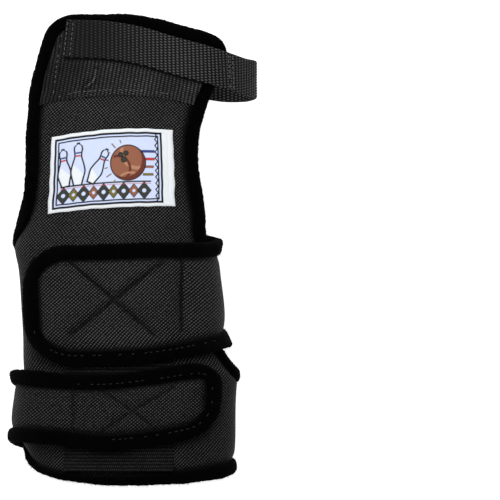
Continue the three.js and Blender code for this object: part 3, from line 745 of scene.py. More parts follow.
# The material and the slot of each look.
LOOKS = dict(
    cloth=(nylon_cloth(), "nylon_cloth"),
    suede=(suede(), "suede"),
    plush=(plush(), "plush_tape"),
    fibre=(plush_fibre(), "plush_tape"),
    webbing=(webbing_cloth(), "webbing"),
    upright=(pile_cloth("loop_pile_upright", False, 1.86, 1), "loop_pile"),
    level=(pile_cloth("loop_pile_level", True, 1.7, 0.42), "loop_pile"),
    hook=(hook_cloth(), "hook_tape"),
    label=(label_cloth(), "label_cloth"),
)
for look, value in dict(dark_thread=0.003, faint_thread=0.015, grey_thread=0.04, light_thread=0.1).items():
    LOOKS[look] = (thread(look, value), "thread")


# Panel, lining and straps

PANEL_STEPS = (200, 130)
LINING_STEPS = (150, 110)
STRAP_STEPS = (260, 52)
HOOK_STEPS = (40, 14)
DIP_WIDTH = 3  # of the hollow beside a tape
PANEL_DIP = 1.3
STRAP_DIP = 1.1
CROWN_WIDTH = 7  # of a strap's edge, where it rises to its puffed middle
FLAT_WIDTH = 6  # of the panel's edge, where it is even
PANEL_BUMPS = (0.22, 26, 3)
LINING_BUMPS = (0.2, 18, 8)
# Depth and width of the valleys along a quilting line, and of the painted shade along it.
QUILT_DIPS = ((1.2, 2.6), (0.5, 1))
QUILT_PAINTED_SHADES = ((0.5, 0.55), (0.12, 2.5))
BACK_PUFF = 0.75  # how far a strap puffs up on the back of the hand
DIAMOND_RUN = 44
DIAMOND_TURNS = (0.31, 0.64)
FAR = 99.0


def painted_edge_shade(near):
    """Painted shade: cloth is darker right beside its tape, where the tape shades it."""
    return 1 - 0.5 * valley(near - 0.6, 1.6)


def panel_cloth():
    y, turn = panel_grid(*PANEL_STEPS)
    left, right = panel_sides(y)
    around = girth(y)
    u = turn * around
    near = np.minimum.reduce([(turn - left) * around, (right - turn) * around, y - y[:1], y[-1:] - y])
    height = PANEL_OUT - PANEL_DIP * valley(near, DIP_WIDTH)
    height = height + uneven(u, y, *PANEL_BUMPS) * (1 - valley(near, FLAT_WIDTH))
    piece = cloth_layer("panel", y, turn, (height, PANEL_IN), "cloth", "back_panel", painted_shading=painted_edge_shade(near))


def lining_suede():
    y, turn = panel_grid(*LINING_STEPS)
    wobble = uneven(turn * girth(y), y, *LINING_BUMPS)
    piece = cloth_layer("lining", y, turn, (LINING_THICKNESS, wobble), "suede", "suede_lining")


def quilt_distance(y, turn, top, bottom, lines):
    """Distance from the nearest quilting line: straight lines on the back, diamonds on the palm side."""
    x, back_y, _ = np.moveaxis(wall(y, turn, STRAP_TOP), -1, 0)
    away = distance_to(x, back_y, lines)
    run = np.abs(turn) * girth(y)
    climb = (y - (top + bottom) / 2) / (top - bottom) * DIAMOND_RUN
    rising, falling = (
        np.abs((run + way * climb) / DIAMOND_RUN % 1 - 0.5) * DIAMOND_RUN for way in (-1, 1)
    )
    diamonds = np.minimum(rising, falling) / np.hypot(1, DIAMOND_RUN / (top - bottom))
    palm = (np.abs(turn) > DIAMOND_TURNS[0]) & (np.abs(turn) < DIAMOND_TURNS[1])
    return np.where(np.abs(turn) > BACK_TURN, away, np.where(palm, diamonds, FAR))


def strap(which, table, end, way, lines, puff, depth, darkening, bumps, **_):
    y, turn = strap_grid(table, end, *STRAP_STEPS)
    top, bottom = y[:, :1], y[:, -1:]
    around = float(girth(y).mean())
    near = np.minimum.reduce([top - y, y - bottom, (end["turn"] - turn) * around])
    quilt = quilt_distance(y, way * turn, top, bottom, lines)
    u = way * turn * around
    soft = 1 - valley(near, CROWN_WIDTH)
    puff = mix(puff, BACK_PUFF, smooth(share(turn, BACK_TURN, 0.9)))
    height = PANEL_OUT + soft * (puff + uneven(u, y, *bumps)) - STRAP_DIP * valley(near, DIP_WIDTH)
    height = height - depth * valleys(quilt, QUILT_DIPS) * soft
    # Painted shade along the quilting lines.
    painted_shading = 1 - depth * valleys(quilt, QUILT_PAINTED_SHADES)
    # Painted shade beside the tape, and painted shade over the whole lower strap.
    painted_shading = painted_shading * painted_edge_shade(near) * darkening
    lift = strap_lift(turn)
    heights, uv = (height + lift, STRAP_IN + lift), np.stack([u, y], -1)
    piece = cloth_layer(f"{which}_strap_cloth", y, way * turn, heights, "cloth", f"{which}_strap", uv, painted_shading)


def hook_patch(which, table, way, hook, **_):
    along, across = HOOK_STEPS
    turn = np.linspace(*hook, along)[:, None]
    top = read(table, "turn", "top", turn) * LENGTH - HOOK_INSET
    bottom = read(table, "turn", "bottom", turn) * LENGTH + HOOK_INSET
    y = mix(top, bottom, np.linspace(0, 1, across)[None])
    turn = np.repeat(turn, across, axis=1)
    heights = [STRAP_IN - GAP - drop + strap_lift(turn) for drop in (0, HOOK_THICKNESS)]
    uv = np.stack([turn * girth(y), y], -1)
    piece = cloth_layer(f"{which}_hook", y, way * turn, heights, "hook", f"{which}_hook_patch", uv)


# Edge tape

TAPE_SPACING = 1.1
TAPE_SIDES = 22
TAPE_LIP = 0.7  # how far the tape's inner lip laps over the cloth
TAPE_SQUARENESS = 2.5
SEW_OUT = 1.7  # how far outside the cloth's edge the tape is sewn through
SEW_DEPTH = 0.45
SEW_WIDTH = 0.8
TAPE_PUCKERS = ((0.05, 7, 21), (0.035, 4, 22))  # along the tape, and both along and round it
TAPE_WIDTH_BUMPS = (0.05, 19, 23)
TAPE_EDGE_BUMPS = (0.22, 3.4, 24)
TAPE_ROUND = 3.4  # millimetres of tape for each radian round its section
TAPE_OUTLINE_STEPS = (240, 160)
NAP_DENSITY = 1.2  # fibres in a square millimetre
NAP_RADIUS = 0.065
NAP_ROOT = 0.2


def strap_outline(table, end, way):
    """A strap's edge from its root out along its top, round its end and back, as turn and y."""
    turn = strap_turns(end, TAPE_OUTLINE_STEPS[0], SEAM_TURN + TAPE_CLEAR_TURN)
    top, bottom = strap_edges(table, end, turn)
    out = np.stack([way * turn, top], 1)
    back = np.stack([way * turn, bottom], 1)[::-1]
    return np.concatenate([out, mix(out[-1], back[0], np.linspace(0, 1, 8)[1:-1, None]), back])


def tape_path():
    """The closed outline that the tape binds, clockwise from the top of the upper strap's seam."""
    y, turn = panel_grid(*TAPE_OUTLINE_STEPS)
    grid = np.stack([turn, y], -1)
    left, right, knuckle, hem = grid[:, 0], grid[:, -1], grid[-1], grid[0]
    outline = [
        left[left[:, 1] > UPPER_SEAM[1] * LENGTH],
        knuckle[1:-1],
        right[right[:, 1] > LOWER_SEAM_TOP * LENGTH][::-1],
        strap_outline(LOWER_STRAP, LOWER_END, 1),
        hem[::-1],
        left[1:][left[1:, 1] < UPPER_SEAM[0] * LENGTH],
        strap_outline(UPPER_STRAP, UPPER_END, -1)[::-1],
    ]
    to_millimetres = [float(GIRTHS.mean()), 1]
    closed = np.concatenate([*outline, outline[0][:1]]) * to_millimetres
    run = run_along(closed)
    count = int(round(run[-1] / TAPE_SPACING))
    even = places(np.linspace(0, run[-1], count + 1)[:count], run, closed)
    for _ in range(3):
        even = (np.roll(even, 1, axis=0) + 2 * even + np.roll(even, -1, axis=0)) / 4
    return even / to_millimetres


def left_of(path):
    """For each point of a closed path, the step in turn and y that goes a millimetre to its left."""
    turn, y = path.T
    nudge = 0.5
    around = girth(y)
    aside = wall(y, turn + nudge / around, PANEL_OUT) - wall(y, turn - nudge / around, PANEL_OUT)
    per_turn = aside * (around / (2 * nudge))[:, None]
    per_y = (wall(y + nudge, turn, PANEL_OUT) - wall(y - nudge, turn, PANEL_OUT)) / (2 * nudge)
    ahead = np.roll(path, -2, axis=0) - np.roll(path, 2, axis=0)
    along = per_turn * ahead[:, :1] + per_y * ahead[:, 1:]
    step = np.stack([-(per_y * along).sum(1), (per_turn * along).sum(1)], 1)
    size = np.linalg.norm(per_turn * step[:, :1] + per_y * step[:, 1:], axis=1)
    return step / size[:, None]


def squared(wave):
    """A sine or cosine drawn out towards -1 and 1, for a section like a rounded square."""
    return np.sign(wave) * np.abs(wave) ** (2 / TAPE_SQUARENESS)


def edge_tape(node, path, side, sewn, run):
    """A padded tape folded over the cloth's edge. Where sewn is 1, a line of stitches sinks in."""
    turn, y = path.T[:, :, None]
    s = run[:, None]
    angle = np.linspace(0, 2 * math.pi, TAPE_SIDES, endpoint=False)[None]
    on_panel = np.abs(turn) < SEAM_TURN + TAPE_CLEAR_TURN
    wide = TAPE_WIDTH - tape_saving(y, share(turn, *panel_sides(y))) * on_panel
    out = (wide - TAPE_LIP) / 2 + (wide + TAPE_LIP) / 2 * squared(np.cos(angle))
    up = squared(np.sin(angle))
    pucker = 1 + uneven(s, 0 * s, *TAPE_PUCKERS[0]) + uneven(s, angle * 4, *TAPE_PUCKERS[1])
    out = out * (1 + uneven(s, 0 * s, *TAPE_WIDTH_BUMPS)) + uneven(s, 0 * s, *TAPE_EDGE_BUMPS) * np.cos(angle)
    far_turn, far_y = turn + side[:, :1] * out, y + side[:, 1:] * out
    high = TAPE_OUT
    low = mix(TAPE_IN, STRAP_IN - TAPE_PROUD, smooth(share(np.abs(turn), *TAPE_TAPER_TURNS)))
    height = (low + high) / 2 + (high - low) / 2 * up * pucker
    height = height - SEW_DEPTH * valley(out - SEW_OUT, SEW_WIDTH) * (up > 0) * sewn[:, None]
    rings = wall(far_y, far_turn, height + strap_lift(far_turn))
    name = f"{node}_plush"
    uv = np.stack(np.broadcast_arrays(s, angle * TAPE_ROUND), -1)
    tube(name, rings, uv, "plush", node)
    nap(f"{node}_nap", rings, len(name))


def nap(name, rings, seed):
    """Stray fibres that stand out of a tape: thin three-sided spikes."""
    rng = np.random.default_rng(seed)
    around = np.roll(rings, -1, axis=1) - np.roll(rings, 1, axis=1)
    ahead = np.gradient(rings, axis=0)
    outward = unit(np.cross(ahead, around))
    outward *= np.sign(((rings - rings.mean(1, keepdims=True)) * outward).sum())
    area = np.linalg.norm(np.cross(ahead, around / 2), axis=2).sum()
    count = int(area * NAP_DENSITY)
    i = rng.integers(0, len(rings) - 1, count)
    j = rng.integers(0, rings.shape[1], count)
    t = rng.uniform(0, 1, (2, count, 1))
    after = (j + 1) % rings.shape[1]
    root = mix(mix(rings[i, j], rings[i + 1, j], t[0]), mix(rings[i, after], rings[i + 1, after], t[0]), t[1])
    up = outward[i, j]
    lean = rng.normal(0, 0.5, (count, 3))
    tip = root + (up + lean) * rng.uniform(0.35, 1.0, (count, 1))
    aside = np.cross(up, rng.normal(0, 1, (count, 3)))
    aside *= NAP_RADIUS / np.linalg.norm(aside, axis=1, keepdims=True)
    other = np.cross(up, aside)
    foot = root - NAP_ROOT * up
    points = np.stack([foot + aside, foot - aside / 2 + other, foot - aside / 2 - other, tip], 1)
    points = points[points[..., 2].min(1) > 0.02]
    faces = np.array([(0, 1, 3), (1, 2, 3), (2, 0, 3), (2, 1, 0)])
    faces = (4 * np.arange(len(points))[:, None, None] + faces).reshape(-1, 3)
    make_mesh(name, points, faces.tolist(), None, "fibre")


def sewn_places(path):
    """1 where the straps' tapes show their stitches on the back of the hand, 0 elsewhere."""
    turn, y = path.T
    x = wall(y, turn, STRAP_TOP)[:, 0]
    on_upper = (turn < -BACK_TURN) & (y < 0.34 * LENGTH)
    upper_edge = y > 0.17 * LENGTH
    on_lower = (turn > BACK_TURN) & ((upper_edge & (x > photo(76)[0])) | (x > photo(108)[0]))
    return (on_upper | on_lower).astype(float)


def edge_tapes():
    """The four tapes, as lengths of one closed path, and the seam through the straps' tapes."""
    path = tape_path()
    side, sewn = left_of(path), sewn_places(path)
    run = run_along(wall(path[:, 1], path[:, 0], PANEL_OUT))
    outside = np.abs(path[:, 0]) > TAPE_TAPER_TURNS[1]
    change = np.flatnonzero(outside[1:] != outside[:-1]) + 1
    nodes = ("lower_strap_tape", "cuff_edge_tape", "upper_strap_tape")
    for node, first, last in zip(nodes, change[:-1], change[1:]):
        part = slice(first, last + 1)
        edge_tape(node, path[part], side[part], sewn[part], run[part])
    order = np.roll(np.arange(len(path)), -change[-1])[: change[0] + len(path) - change[-1] + 1]
    long_run = np.concatenate([run[change[-1] :], run[-1] + TAPE_SPACING + run[: change[-1]]])
    edge_tape("hand_edge_tape", path[order], side[order], sewn[order], long_run[: len(order)])
    return path, side, sewn


# Patches

WRIST_LOOP_STEPS = (50, 90)
KNUCKLE_LOOP_STEPS = (190, 100)
PILE_SUNK = 0.35  # how far the knuckle loop patch lies below its full height
PILE_BUMPS = (0.25, 12, 5)
# A pinched crease in the knuckle loop patch, by the photograph's pixels.
PILE_CREASE = [photo(96, 70), photo(95.5, 77), photo(92, 82), photo(86, 87)]
PILE_SHADE_SPAN = (photo(52)[0], photo(115)[0])  # between these the patch goes from its darkest to its brightest, by painted shade on its left


def wrist_loop():
    y, turn, uv = patch_grid(WRIST_LOOP, *WRIST_LOOP_STEPS)
    heights = (LOOP_OUT, PATCH_IN - GAP)
    piece = cloth_layer("wrist_loop", y, turn, heights, "level", "wrist_loop_patch", uv, np.ones_like(y))


def strap_lower_edge():
    """Points in the plan along the lower edge of the knuckle strap, where it presses the patch and its shadow
    is painted on it.
    """
    middle, across, _, _, run = webbing_frame(300)
    near = (middle - across)[run < EDGE_ON_PATCH]
    return [tuple(point[:2]) for point in near[::6]]


def knuckle_loop():
    columns, across = KNUCKLE_LOOP_STEPS
    q = crowded(columns, 0.5)[None]
    top = panel_end(KNUCKLE, q, KNUCKLE_CORNERS, -1)
    low = LENGTH - TAPE_WIDTH - KNUCKLE_LOOP["height"] + KNUCKLE_LOOP["bow"] * (1 - (2 * q - 1) ** 2)
    y = mix(top, low, np.linspace(0, 1, across)[:, None])
    left, right = panel_sides(y)
    turn = mix(left, right, mix(KNUCKLE_LOOP["side"], 1 - KNUCKLE_LOOP["side"], q))
    height = LOOP_OUT - PILE_SUNK + uneven(turn * girth(y), y, *PILE_BUMPS)
    x, plan_y, _ = np.moveaxis(wall(y, turn, height), -1, 0)
    crease = distance_to(x, plan_y, zip(PILE_CREASE, PILE_CREASE[1:]))
    edge = strap_lower_edge()
    # Distance from the strap's lower edge: the pile is pressed there, and a painted shadow lies along it.
    from_strap_edge = distance_to(x, plan_y, zip(edge, edge[1:]))
    height = height + 1.1 * valley(crease, 0.75) - 0.5 * valley(crease, 2.2)
    height = height - 0.3 * valley(from_strap_edge, 1.2)
    # Painted shade: darker towards the patch's left side, and a painted shadow along the strap's lower edge.
    painted_shading = mix(0.78, 1, smooth(share(x, *PILE_SHADE_SPAN))) * (1 - 0.85 * valley(from_strap_edge, 0.9))
    # Painted shade round the crease, and a painted highlight along its ridge.
    painted_shading = painted_shading * (1 - 0.3 * valley(crease, 2)) + 1.2 * valley(crease, 0.5)
    heights = (height, PATCH_IN - GAP)
    piece = cloth_layer("knuckle_loop", y, turn, heights, "upright", "knuckle_loop_patch", painted_shading=painted_shading)


# Knuckle strap

WEBBING_STEPS = (760, 54)
WEBBING_FLOAT = 2.1  # between columns of floats
WEBBING_YARN = 1.35  # between floats in a column
FLOAT_SIZE = (0.47, 0.43)  # of a float, as shares of those
FLOAT_RISE = 0.45
END_SLANT = 2.2  # how far the free end's lower corner stands out past its upper one
END_REACH = 14  # how far along the strap that slant fades out
EDGE_ON_PATCH = 82  # how far along the strap its lower edge lies on the patch


def curve_through(points, count):
    """Even steps in each span of a centripetal Catmull-Rom curve."""
    points = np.array(points)
    padded = np.concatenate([2 * points[:1] - points[1:2], points, 2 * points[-1:] - points[-2:-1]])
    t = np.linspace(0, len(points) - 1, count)
    i = np.minimum(t.astype(int), len(points) - 2)
    w = (t - i)[:, None]
    p0, p1, p2, p3 = (padded[i + k] for k in range(4))
    d0, d1, d2 = (np.sqrt(np.linalg.norm(b - a, axis=1))[:, None] for a, b in ((p0, p1), (p1, p2), (p2, p3)))
    t1 = ((p1 - p0) / d0 - (p2 - p0) / (d0 + d1) + (p2 - p1) / d1) * d1
    t2 = ((p2 - p1) / d1 - (p3 - p1) / (d1 + d2) + (p3 - p2) / d2) * d1
    near = p1 * (1 + 2 * w) * (1 - w) ** 2 + t1 * w * (1 - w) ** 2
    return near + p2 * w * w * (3 - 2 * w) - t2 * w * w * (1 - w)


def float_relief(along, across):
    """Height of the webbing's floats, from 0 to 1: ovals in columns, each column half a float on."""
    relief = 0 * (along + across)
    for k in range(2):
        a = (along / WEBBING_FLOAT - k) / 2
        b = across / WEBBING_YARN + k / 2
        a, b = np.abs(a - np.round(a)) * 2 / FLOAT_SIZE[0], np.abs(b - np.round(b)) / FLOAT_SIZE[1]
        relief = np.maximum(relief, np.clip(1 - a**2 - b**2, 0, 1) ** 0.5)
    return relief


def webbing_edge(side):
    """The strap's far edge, or its near one if side is -1."""
    half = WEBBING_THICKNESS / 2
    shift = side * WEBBING_WIDTH / 2

    def on(table, height):
        x, y = (np.array([row[key] for row in table]) for key in ("x", "y"))
        y = y * LENGTH + shift
        return wall(y, turn_at(y, x * HALF_WIDTH, 0), height)

    free = [
        (row["x"] * HALF_WIDTH, row["y"] * LENGTH + shift, half + row["z"] * ARCH_HEIGHT)
        for row in KNUCKLE_FREE
    ]
    above = max(TAPE_OUT, LOOP_OUT) + WEBBING_CLEARANCE + half
    below = TAPE_IN - LAP_GAP - half
    return curve_through(np.concatenate([on(KNUCKLE_TOP, above), free, on(KNUCKLE_SEWN, below)]), 900)


def webbing_frame(count):
    """Evenly spaced middle line, width, face and forward directions, and run of the knuckle strap."""
    far, near = webbing_edge(1), webbing_edge(-1)
    run = run_along((far + near) / 2)
    goal = np.linspace(0, run[-1], count)
    far, near = places(goal, run, far), places(goal, run, near)
    middle, across = (far + near) / 2, (far - near) / 2
    along = np.gradient(middle, axis=0)
    return middle, across, unit(np.cross(along, across)), unit(along), goal


def slanted(run, v):
    """How far the strap is drawn out at a place, where v is 1 at its upper edge and -1 at its lower."""
    return END_SLANT * (1 - v) / 2 * (1 - smooth(share(run, 0, END_REACH)))


def knuckle_webbing():
    count, columns = WEBBING_STEPS
    middle, across, up, ahead, run = webbing_frame(count)
    v = np.linspace(-1, 1, columns)
    v = np.sign(v) * np.abs(v) ** 0.9
    round_edge = np.sqrt(np.clip(1 - ((np.abs(v) - 0.93) / 0.07).clip(0, 1) ** 2, 0, 1))
    along, aside = run[:, None], (v * WEBBING_WIDTH / 2)[None]
    base = middle[:, None] + across[:, None] * v[None, :, None]
    base = base - ahead[:, None] * slanted(along, v[None])[..., None]
    thick = (WEBBING_THICKNESS / 2 - 0.35) * round_edge[None]
    relief, back = float_relief(along, aside), float_relief(along + WEBBING_FLOAT / 2, aside)
    outer = base + up[:, None] * (thick + FLOAT_RISE * relief * round_edge)[..., None]
    inner = base - up[:, None] * (thick + FLOAT_RISE * back * round_edge)[..., None]
    uv = np.stack(np.broadcast_arrays(along, aside), -1)
    piece = slab("knuckle_webbing", outer, inner, uv, "webbing", "knuckle_strap")
    # Painted shade: the strap is darker over its first 60 millimetres, by its free end on the left.
    darkening = 0.68 + 0.36 * smooth(share(along, 5, 60))
    attach(piece, "relief", relief * darkening, back)


# Label, with a generic bowling picture

LABEL_STEPS = (264, 166)
LABEL_BUMPS = (0.09, 11, 31)
LABEL_SIDE_BUMPS = (0.22, 7, 41)
LABEL_END_BUMPS = (0.2, 8, 43)
LABEL_SEAM = dict(inset=2.7, width=0.5, depth=0.12)
PRINT_RISE = 0.4
WHITE = (0.74, 0.77, 0.79)
FIELD = (0.57, 0.64, 0.84)
INK = (0.006, 0.006, 0.008)
SLATE = (0.04, 0.042, 0.036)
BROWN = (0.27, 0.105, 0.062)
RUST = (0.13, 0.035, 0.02)
TAN = (0.42, 0.21, 0.12)
OLIVE = (0.17, 0.14, 0.03)
BLUE = (0.03, 0.055, 0.2)
RED = (0.5, 0.045, 0.05)
PIN_PROFILE = rows(
    "at radius",
    (0, 0.62), (0.1, 0.8), (0.32, 1.18), (0.5, 0.92), (0.68, 0.5), (0.78, 0.5), (0.88, 0.62), (0.96, 0.45),
    (1, 0.02),
)
PIN_RADIUS = 2.9  # of a pin that is 22 high
FOLD = 3.6  # how much wider the plain margin is on the right
PINS = ((-23.4, -6.6, 18.5, 0.1), (-10.6, -6.0, 17.5, -0.5), (-17.2, -6.6, 20.5, 0.0))  # x, y, height, lean
BALL = (8.6, 2.6, 8.6)  # x, y, radius
# On the ball, from its middle: x, y, radius, and half the width and the colour of each swirl.
SWIRLS = ((5, 5.5, 8.2, 0.8, TAN), (-5.5, -3, 6.6, 0.65, RUST), (1, -12, 7, 0.5, TAN))
FINGER_HOLES = ((-3.6, 4.2, 1.05), (-0.9, 4.8, 1.05), (-2.0, 1.7, 1.3))
DASHES = ((15, 7, BLUE), (16.5, 5.5, RED), (17.2, 4.2, BROWN), (16.2, 5.0, OLIVE))  # start and length


def box_shape(u, v, x, y, width, height):
    return np.maximum(np.abs(u - x) - width / 2, np.abs(v - y) - height / 2)


def pin_shape(u, v, x, y, height, lean):
    """Signed distance, about, from a ninepin that stands on x, y and leans by an angle."""
    cos, sin = math.cos(lean), math.sin(lean)
    a, b = (u - x) * cos + (v - y) * sin, -(u - x) * sin + (v - y) * cos
    at = b / height
    radius = read(PIN_PROFILE, "at", "radius", at) * PIN_RADIUS * height / 22
    return np.maximum(np.abs(a) - radius, np.maximum(-b, b - height)), at


def label_print(u, v):
    """Colour and raised height of the label at each point, from shapes laid over each other."""
    colour = np.ones((*u.shape, 3)) * WHITE
    raised = 0 * u

    def lay(distance, paint, height=0.0, soft=0.14):
        nonlocal colour, raised
        cover = smooth(share(-distance, -soft, soft))[..., None]
        colour = colour * (1 - cover) + np.array(paint) * cover
        raised = np.maximum(raised, cover[..., 0] * height)

    def disc(x, y, radius):
        return np.hypot(u - x, v - y) - radius

    width, height = LABEL["width"], LABEL["height"]
    frame_box = box_shape(u, v, -FOLD / 2, 0, width - 5.0 - FOLD, height - 4.4)
    lay(frame_box, FIELD)
    for inset, line in ((0.0, 1.05), (1.6, 0.65)):
        lay(np.abs(frame_box + inset) - line / 2, INK, 0.04, 0.1)
    inside = frame_box + 1.9

    def draw(distance, paint):
        lay(np.maximum(distance, inside), paint, 0.1)

    def outlined(distance, paint, line):
        draw(distance - line, INK)
        draw(distance, paint)

    zigzag = np.abs(u - 22.9 - 0.6 * (np.abs(v / 1.6 % 2 - 1) * 2 - 1)) - 0.36
    lay(np.maximum(zigzag, np.abs(v) - height / 2 + 2.4), INK, 0.15, 0.08)

    # A row of diamonds with a dot in each, large and small by turns, under two rules.
    for k in range(9):
        x, size = -24.2 + 5.1 * k, (1.35, 1.05)[k % 2]
        diamond = (np.abs(u - x) / 2.4 + np.abs(v + 11.6) / 3.0 - size) * 1.8
        outlined(diamond, (SLATE, OLIVE, SLATE, BROWN)[k % 4], 0.35)
        draw(disc(x, -11.6, 0.75 * size), FIELD)
    draw(box_shape(u, v, -3, -7.0, 46, 0.8), SLATE)
    draw(box_shape(u, v, -3, -8.1, 46, 0.25), RED)

    # Three ninepins on the left, one of them falling.
    for x, y, tall, lean in PINS:
        shape, at = pin_shape(u, v, x, y, tall, lean)
        outlined(shape, WHITE, 0.85)
        draw(np.maximum(shape, 0.55 - (at - 0.25) * 4 - (u - x) * 0.2), FIELD)
        for low, paint in ((0.69, RED), (0.765, BLUE)):
            draw(np.maximum(shape, np.abs(at - low - 0.02) * tall - 0.42), paint)

    # A ball on the right, with its finger holes, swirls and a trail of dashes.
    x, y, size = BALL
    for k, (start, length, paint) in enumerate(DASHES):
        outlined(box_shape(u, v, start + length / 2, 8.2 - 3.9 * k, length, 1.15), paint, 0.1)
    ball = disc(x, y, size)
    outlined(ball, BROWN, 0.55)
    for dx, dy, radius, half, paint in SWIRLS:
        draw(np.maximum(np.abs(disc(x + dx, y + dy, radius)) - half, ball + 0.5), paint)
    draw(np.maximum(ball, -disc(x - 1.5, y + 1.5, size)), RUST)
    for dx, dy, radius in FINGER_HOLES:
        outlined(disc(x + dx, y + dy, radius), SLATE, 0.3)
    # Sparks where the ball meets the pins.
    for k in range(7):
        angle = 1.9 + 0.36 * k
        along = (u - x) * math.cos(angle) + (v - y) * math.sin(angle)
        aside = -(u - x) * math.sin(angle) + (v - y) * math.cos(angle)
        spark = np.maximum(np.abs(along - 11.4) - (0.9, 1.5)[k % 2], np.abs(aside) - 0.28)
        draw(spark, (OLIVE, RUST)[k % 2])
    return colour, raised


def label_set(name, up):
    """How far the label is set off at a share of its height."""
    return mix(LABEL_SET[name]["bottom"], LABEL_SET[name]["top"], up)


def sewn_label():
    y, turn, uv = patch_grid(LABEL, *LABEL_STEPS)
    u, v = uv[..., 0], uv[..., 1]
    width, height = LABEL["width"], LABEL["height"]
    half = width / 2
    across, up = u / width + 0.5, v / height + 0.5
    left, right = share(-u, 0, half), share(u, 0, half)
    nudge = label_set("left", up) * left - label_set("right", up) * right
    nudge = nudge + uneven(v, 0 * v, *LABEL_SIDE_BUMPS) * (left - right) ** 4
    turn = turn + nudge / girth(y)
    rise = mix(*(mix(*LABEL_SET["rise"][end], across) for end in ("bottom", "top")), up)
    bow = label_set("bow", up) * (1 - (u / half) ** 2)
    y = y + rise + bow + uneven(u, 0 * u, *LABEL_END_BUMPS) * (2 * v / height) ** 3
    colour, raised = label_print(u, v)
    near = np.minimum(half - np.abs(u), height / 2 - np.abs(v))
    fold = smooth(share(near, 0, 0.8))
    sewn = LABEL_SEAM["depth"] * valley(near - LABEL_SEAM["inset"], LABEL_SEAM["width"])
    top = PATCH_IN + LABEL_THICKNESS * (0.6 + 0.4 * fold) - sewn + PRINT_RISE * raised
    top = top + uneven(u, v, *LABEL_BUMPS)
    piece = cloth_layer("sewn_label", y, turn, (top, PATCH_IN - GAP), "label", "label", uv)
    layer = piece.data.attributes.new("print", "FLOAT_COLOR", "POINT")
    rgba = np.ones((2, *u.shape, 4), np.float32)
    rgba[0, ..., :3] = colour
    rgba[1, ..., :3] = WHITE
    layer.data.foreach_set("color", rgba.ravel())


# Stitches

# Each seam: its thread, the length of a stitch, the step to the next, thickness and unevenness.
SEAMS = dict(
    strap_edge_stitches=("faint_thread", 2.2, 3.2, 0.5, 0.2),
    quilt_stitches=("dark_thread", 2.3, 3.2, 0.4, 0.05),
    webbing_stitches=("light_thread", 1.9, 2.5, 0.45, 0.05),
    loop_patch_stitches=("light_thread", 1.7, 2.6, 0.42, 0.12),
    lining_stitches=("grey_thread", 2.3, 3.4, 0.36, 0.08),
)
STITCH_SIDES = 5
STITCH_BOW = (-0.5, 0.15, 0.4, 0.4, 0.15, -0.5)
STITCH_ROUND = (0.3, 0.8, 1, 1, 0.8, 0.3)
WEBBING_ROWS = (0.7, 3.4, 84.5, 87.0)  # places along the strap: by its free end, and beside the hand
PATCH_ROW = [photo(*p) for p in ((58, 97), (76, 92), (113, 89.5), (150, 91), (188, 97))]
PATCH_SIDE_ROW = [photo(61.5, 34), photo(57, 60), photo(53, 95)]
PALM_RING = dict(x=-0.25, y=203, radius=23)
SUEDE_SEAM = dict(height=-0.1, start=0.55, end=0.92, inset=2.2)


def stitches(name, runs):
    """Sewn stitches along runs of points with their surface normals: short bowed threads, unevenly set."""
    look, length, pitch, thick, uneven = SEAMS[name]
    points, faces = [], []
    rng = np.random.default_rng(len(name))
    profile = np.linspace(0, 2 * math.pi, STITCH_SIDES, endpoint=False)
    rings = len(STITCH_BOW)
    bow, radius = np.array(STITCH_BOW) * thick, np.array(STITCH_ROUND) * thick / 2
    for path, normals in runs:
        run = run_along(path)
        for start in np.arange(0, run[-1] - length, pitch):
            if rng.uniform() < uneven:
                continue
            sunk, askew = rng.uniform(-1, 1, 2) * uneven
            at = start + length * (np.linspace(0, 1, rings) * (1 - abs(sunk)) + askew)
            line, normal = places(at, run, path), unit(places(at, run, normals))
            aside = np.cross(unit(np.gradient(line, axis=0)), normal)
            base = STITCH_SIDES * len(points)
            for k in range(rings):
                centre = line[k] + normal[k] * (bow[k] + 0.6 * sunk) + aside[k] * askew * (k - 2.5) / 2.5
                around = np.outer(np.cos(profile), aside[k]) + np.outer(np.sin(profile), normal[k])
                points.append(centre + around * radius[k])
            for k in range(rings - 1):
                for j in range(STITCH_SIDES):
                    a, b = (base + k * STITCH_SIDES + (j + step) % STITCH_SIDES for step in (0, 1))
                    faces.append([b, a, a + STITCH_SIDES, b + STITCH_SIDES])
    make_mesh(name, np.concatenate(points), faces, None, look)


def on_surface(y, turn, height):
    """Points and outward normals of a layer at some height."""
    points = wall(y, turn, height)
    return points, wall(y, turn, height + 0.05) - points


def back_line(points, height):
    """A line on the back of the hand through points in millimetres, at some height over the wall."""
    t, index = np.linspace(0, len(points) - 1, 60), range(len(points))
    x, y = (np.interp(t, index, column) for column in zip(*points))
    return on_surface(y, turn_at(y, x, height), height)


def strap_stitches(path, side, sewn):
    """Stitches through the tapes of both straps."""
    change = np.flatnonzero(np.diff(np.concatenate([[0], sewn, [0]])))
    runs = []
    for first, last in zip(change[::2], change[1::2]):
        turn, y = (path[first:last] + side[first:last] * SEW_OUT).T
        runs.append(on_surface(y, turn, TAPE_OUT - SEW_DEPTH + strap_lift(turn)))
    stitches("strap_edge_stitches", runs)


def webbing_stitches():
    """Two rows across the knuckle strap near its free end, and two by the loop at its side."""
    middle, across, up, ahead, run = webbing_frame(900)
    v = np.linspace(-0.92, 0.92, 20)[:, None]
    runs = []
    for place in WEBBING_ROWS:
        k = int(np.searchsorted(run, place))
        line = middle[k] + across[k] * v - ahead[k] * slanted(place, v)
        runs.append((line + up[k] * (WEBBING_THICKNESS / 2 + 0.3), np.repeat(up[k][None], len(v), 0)))
    stitches("webbing_stitches", runs)


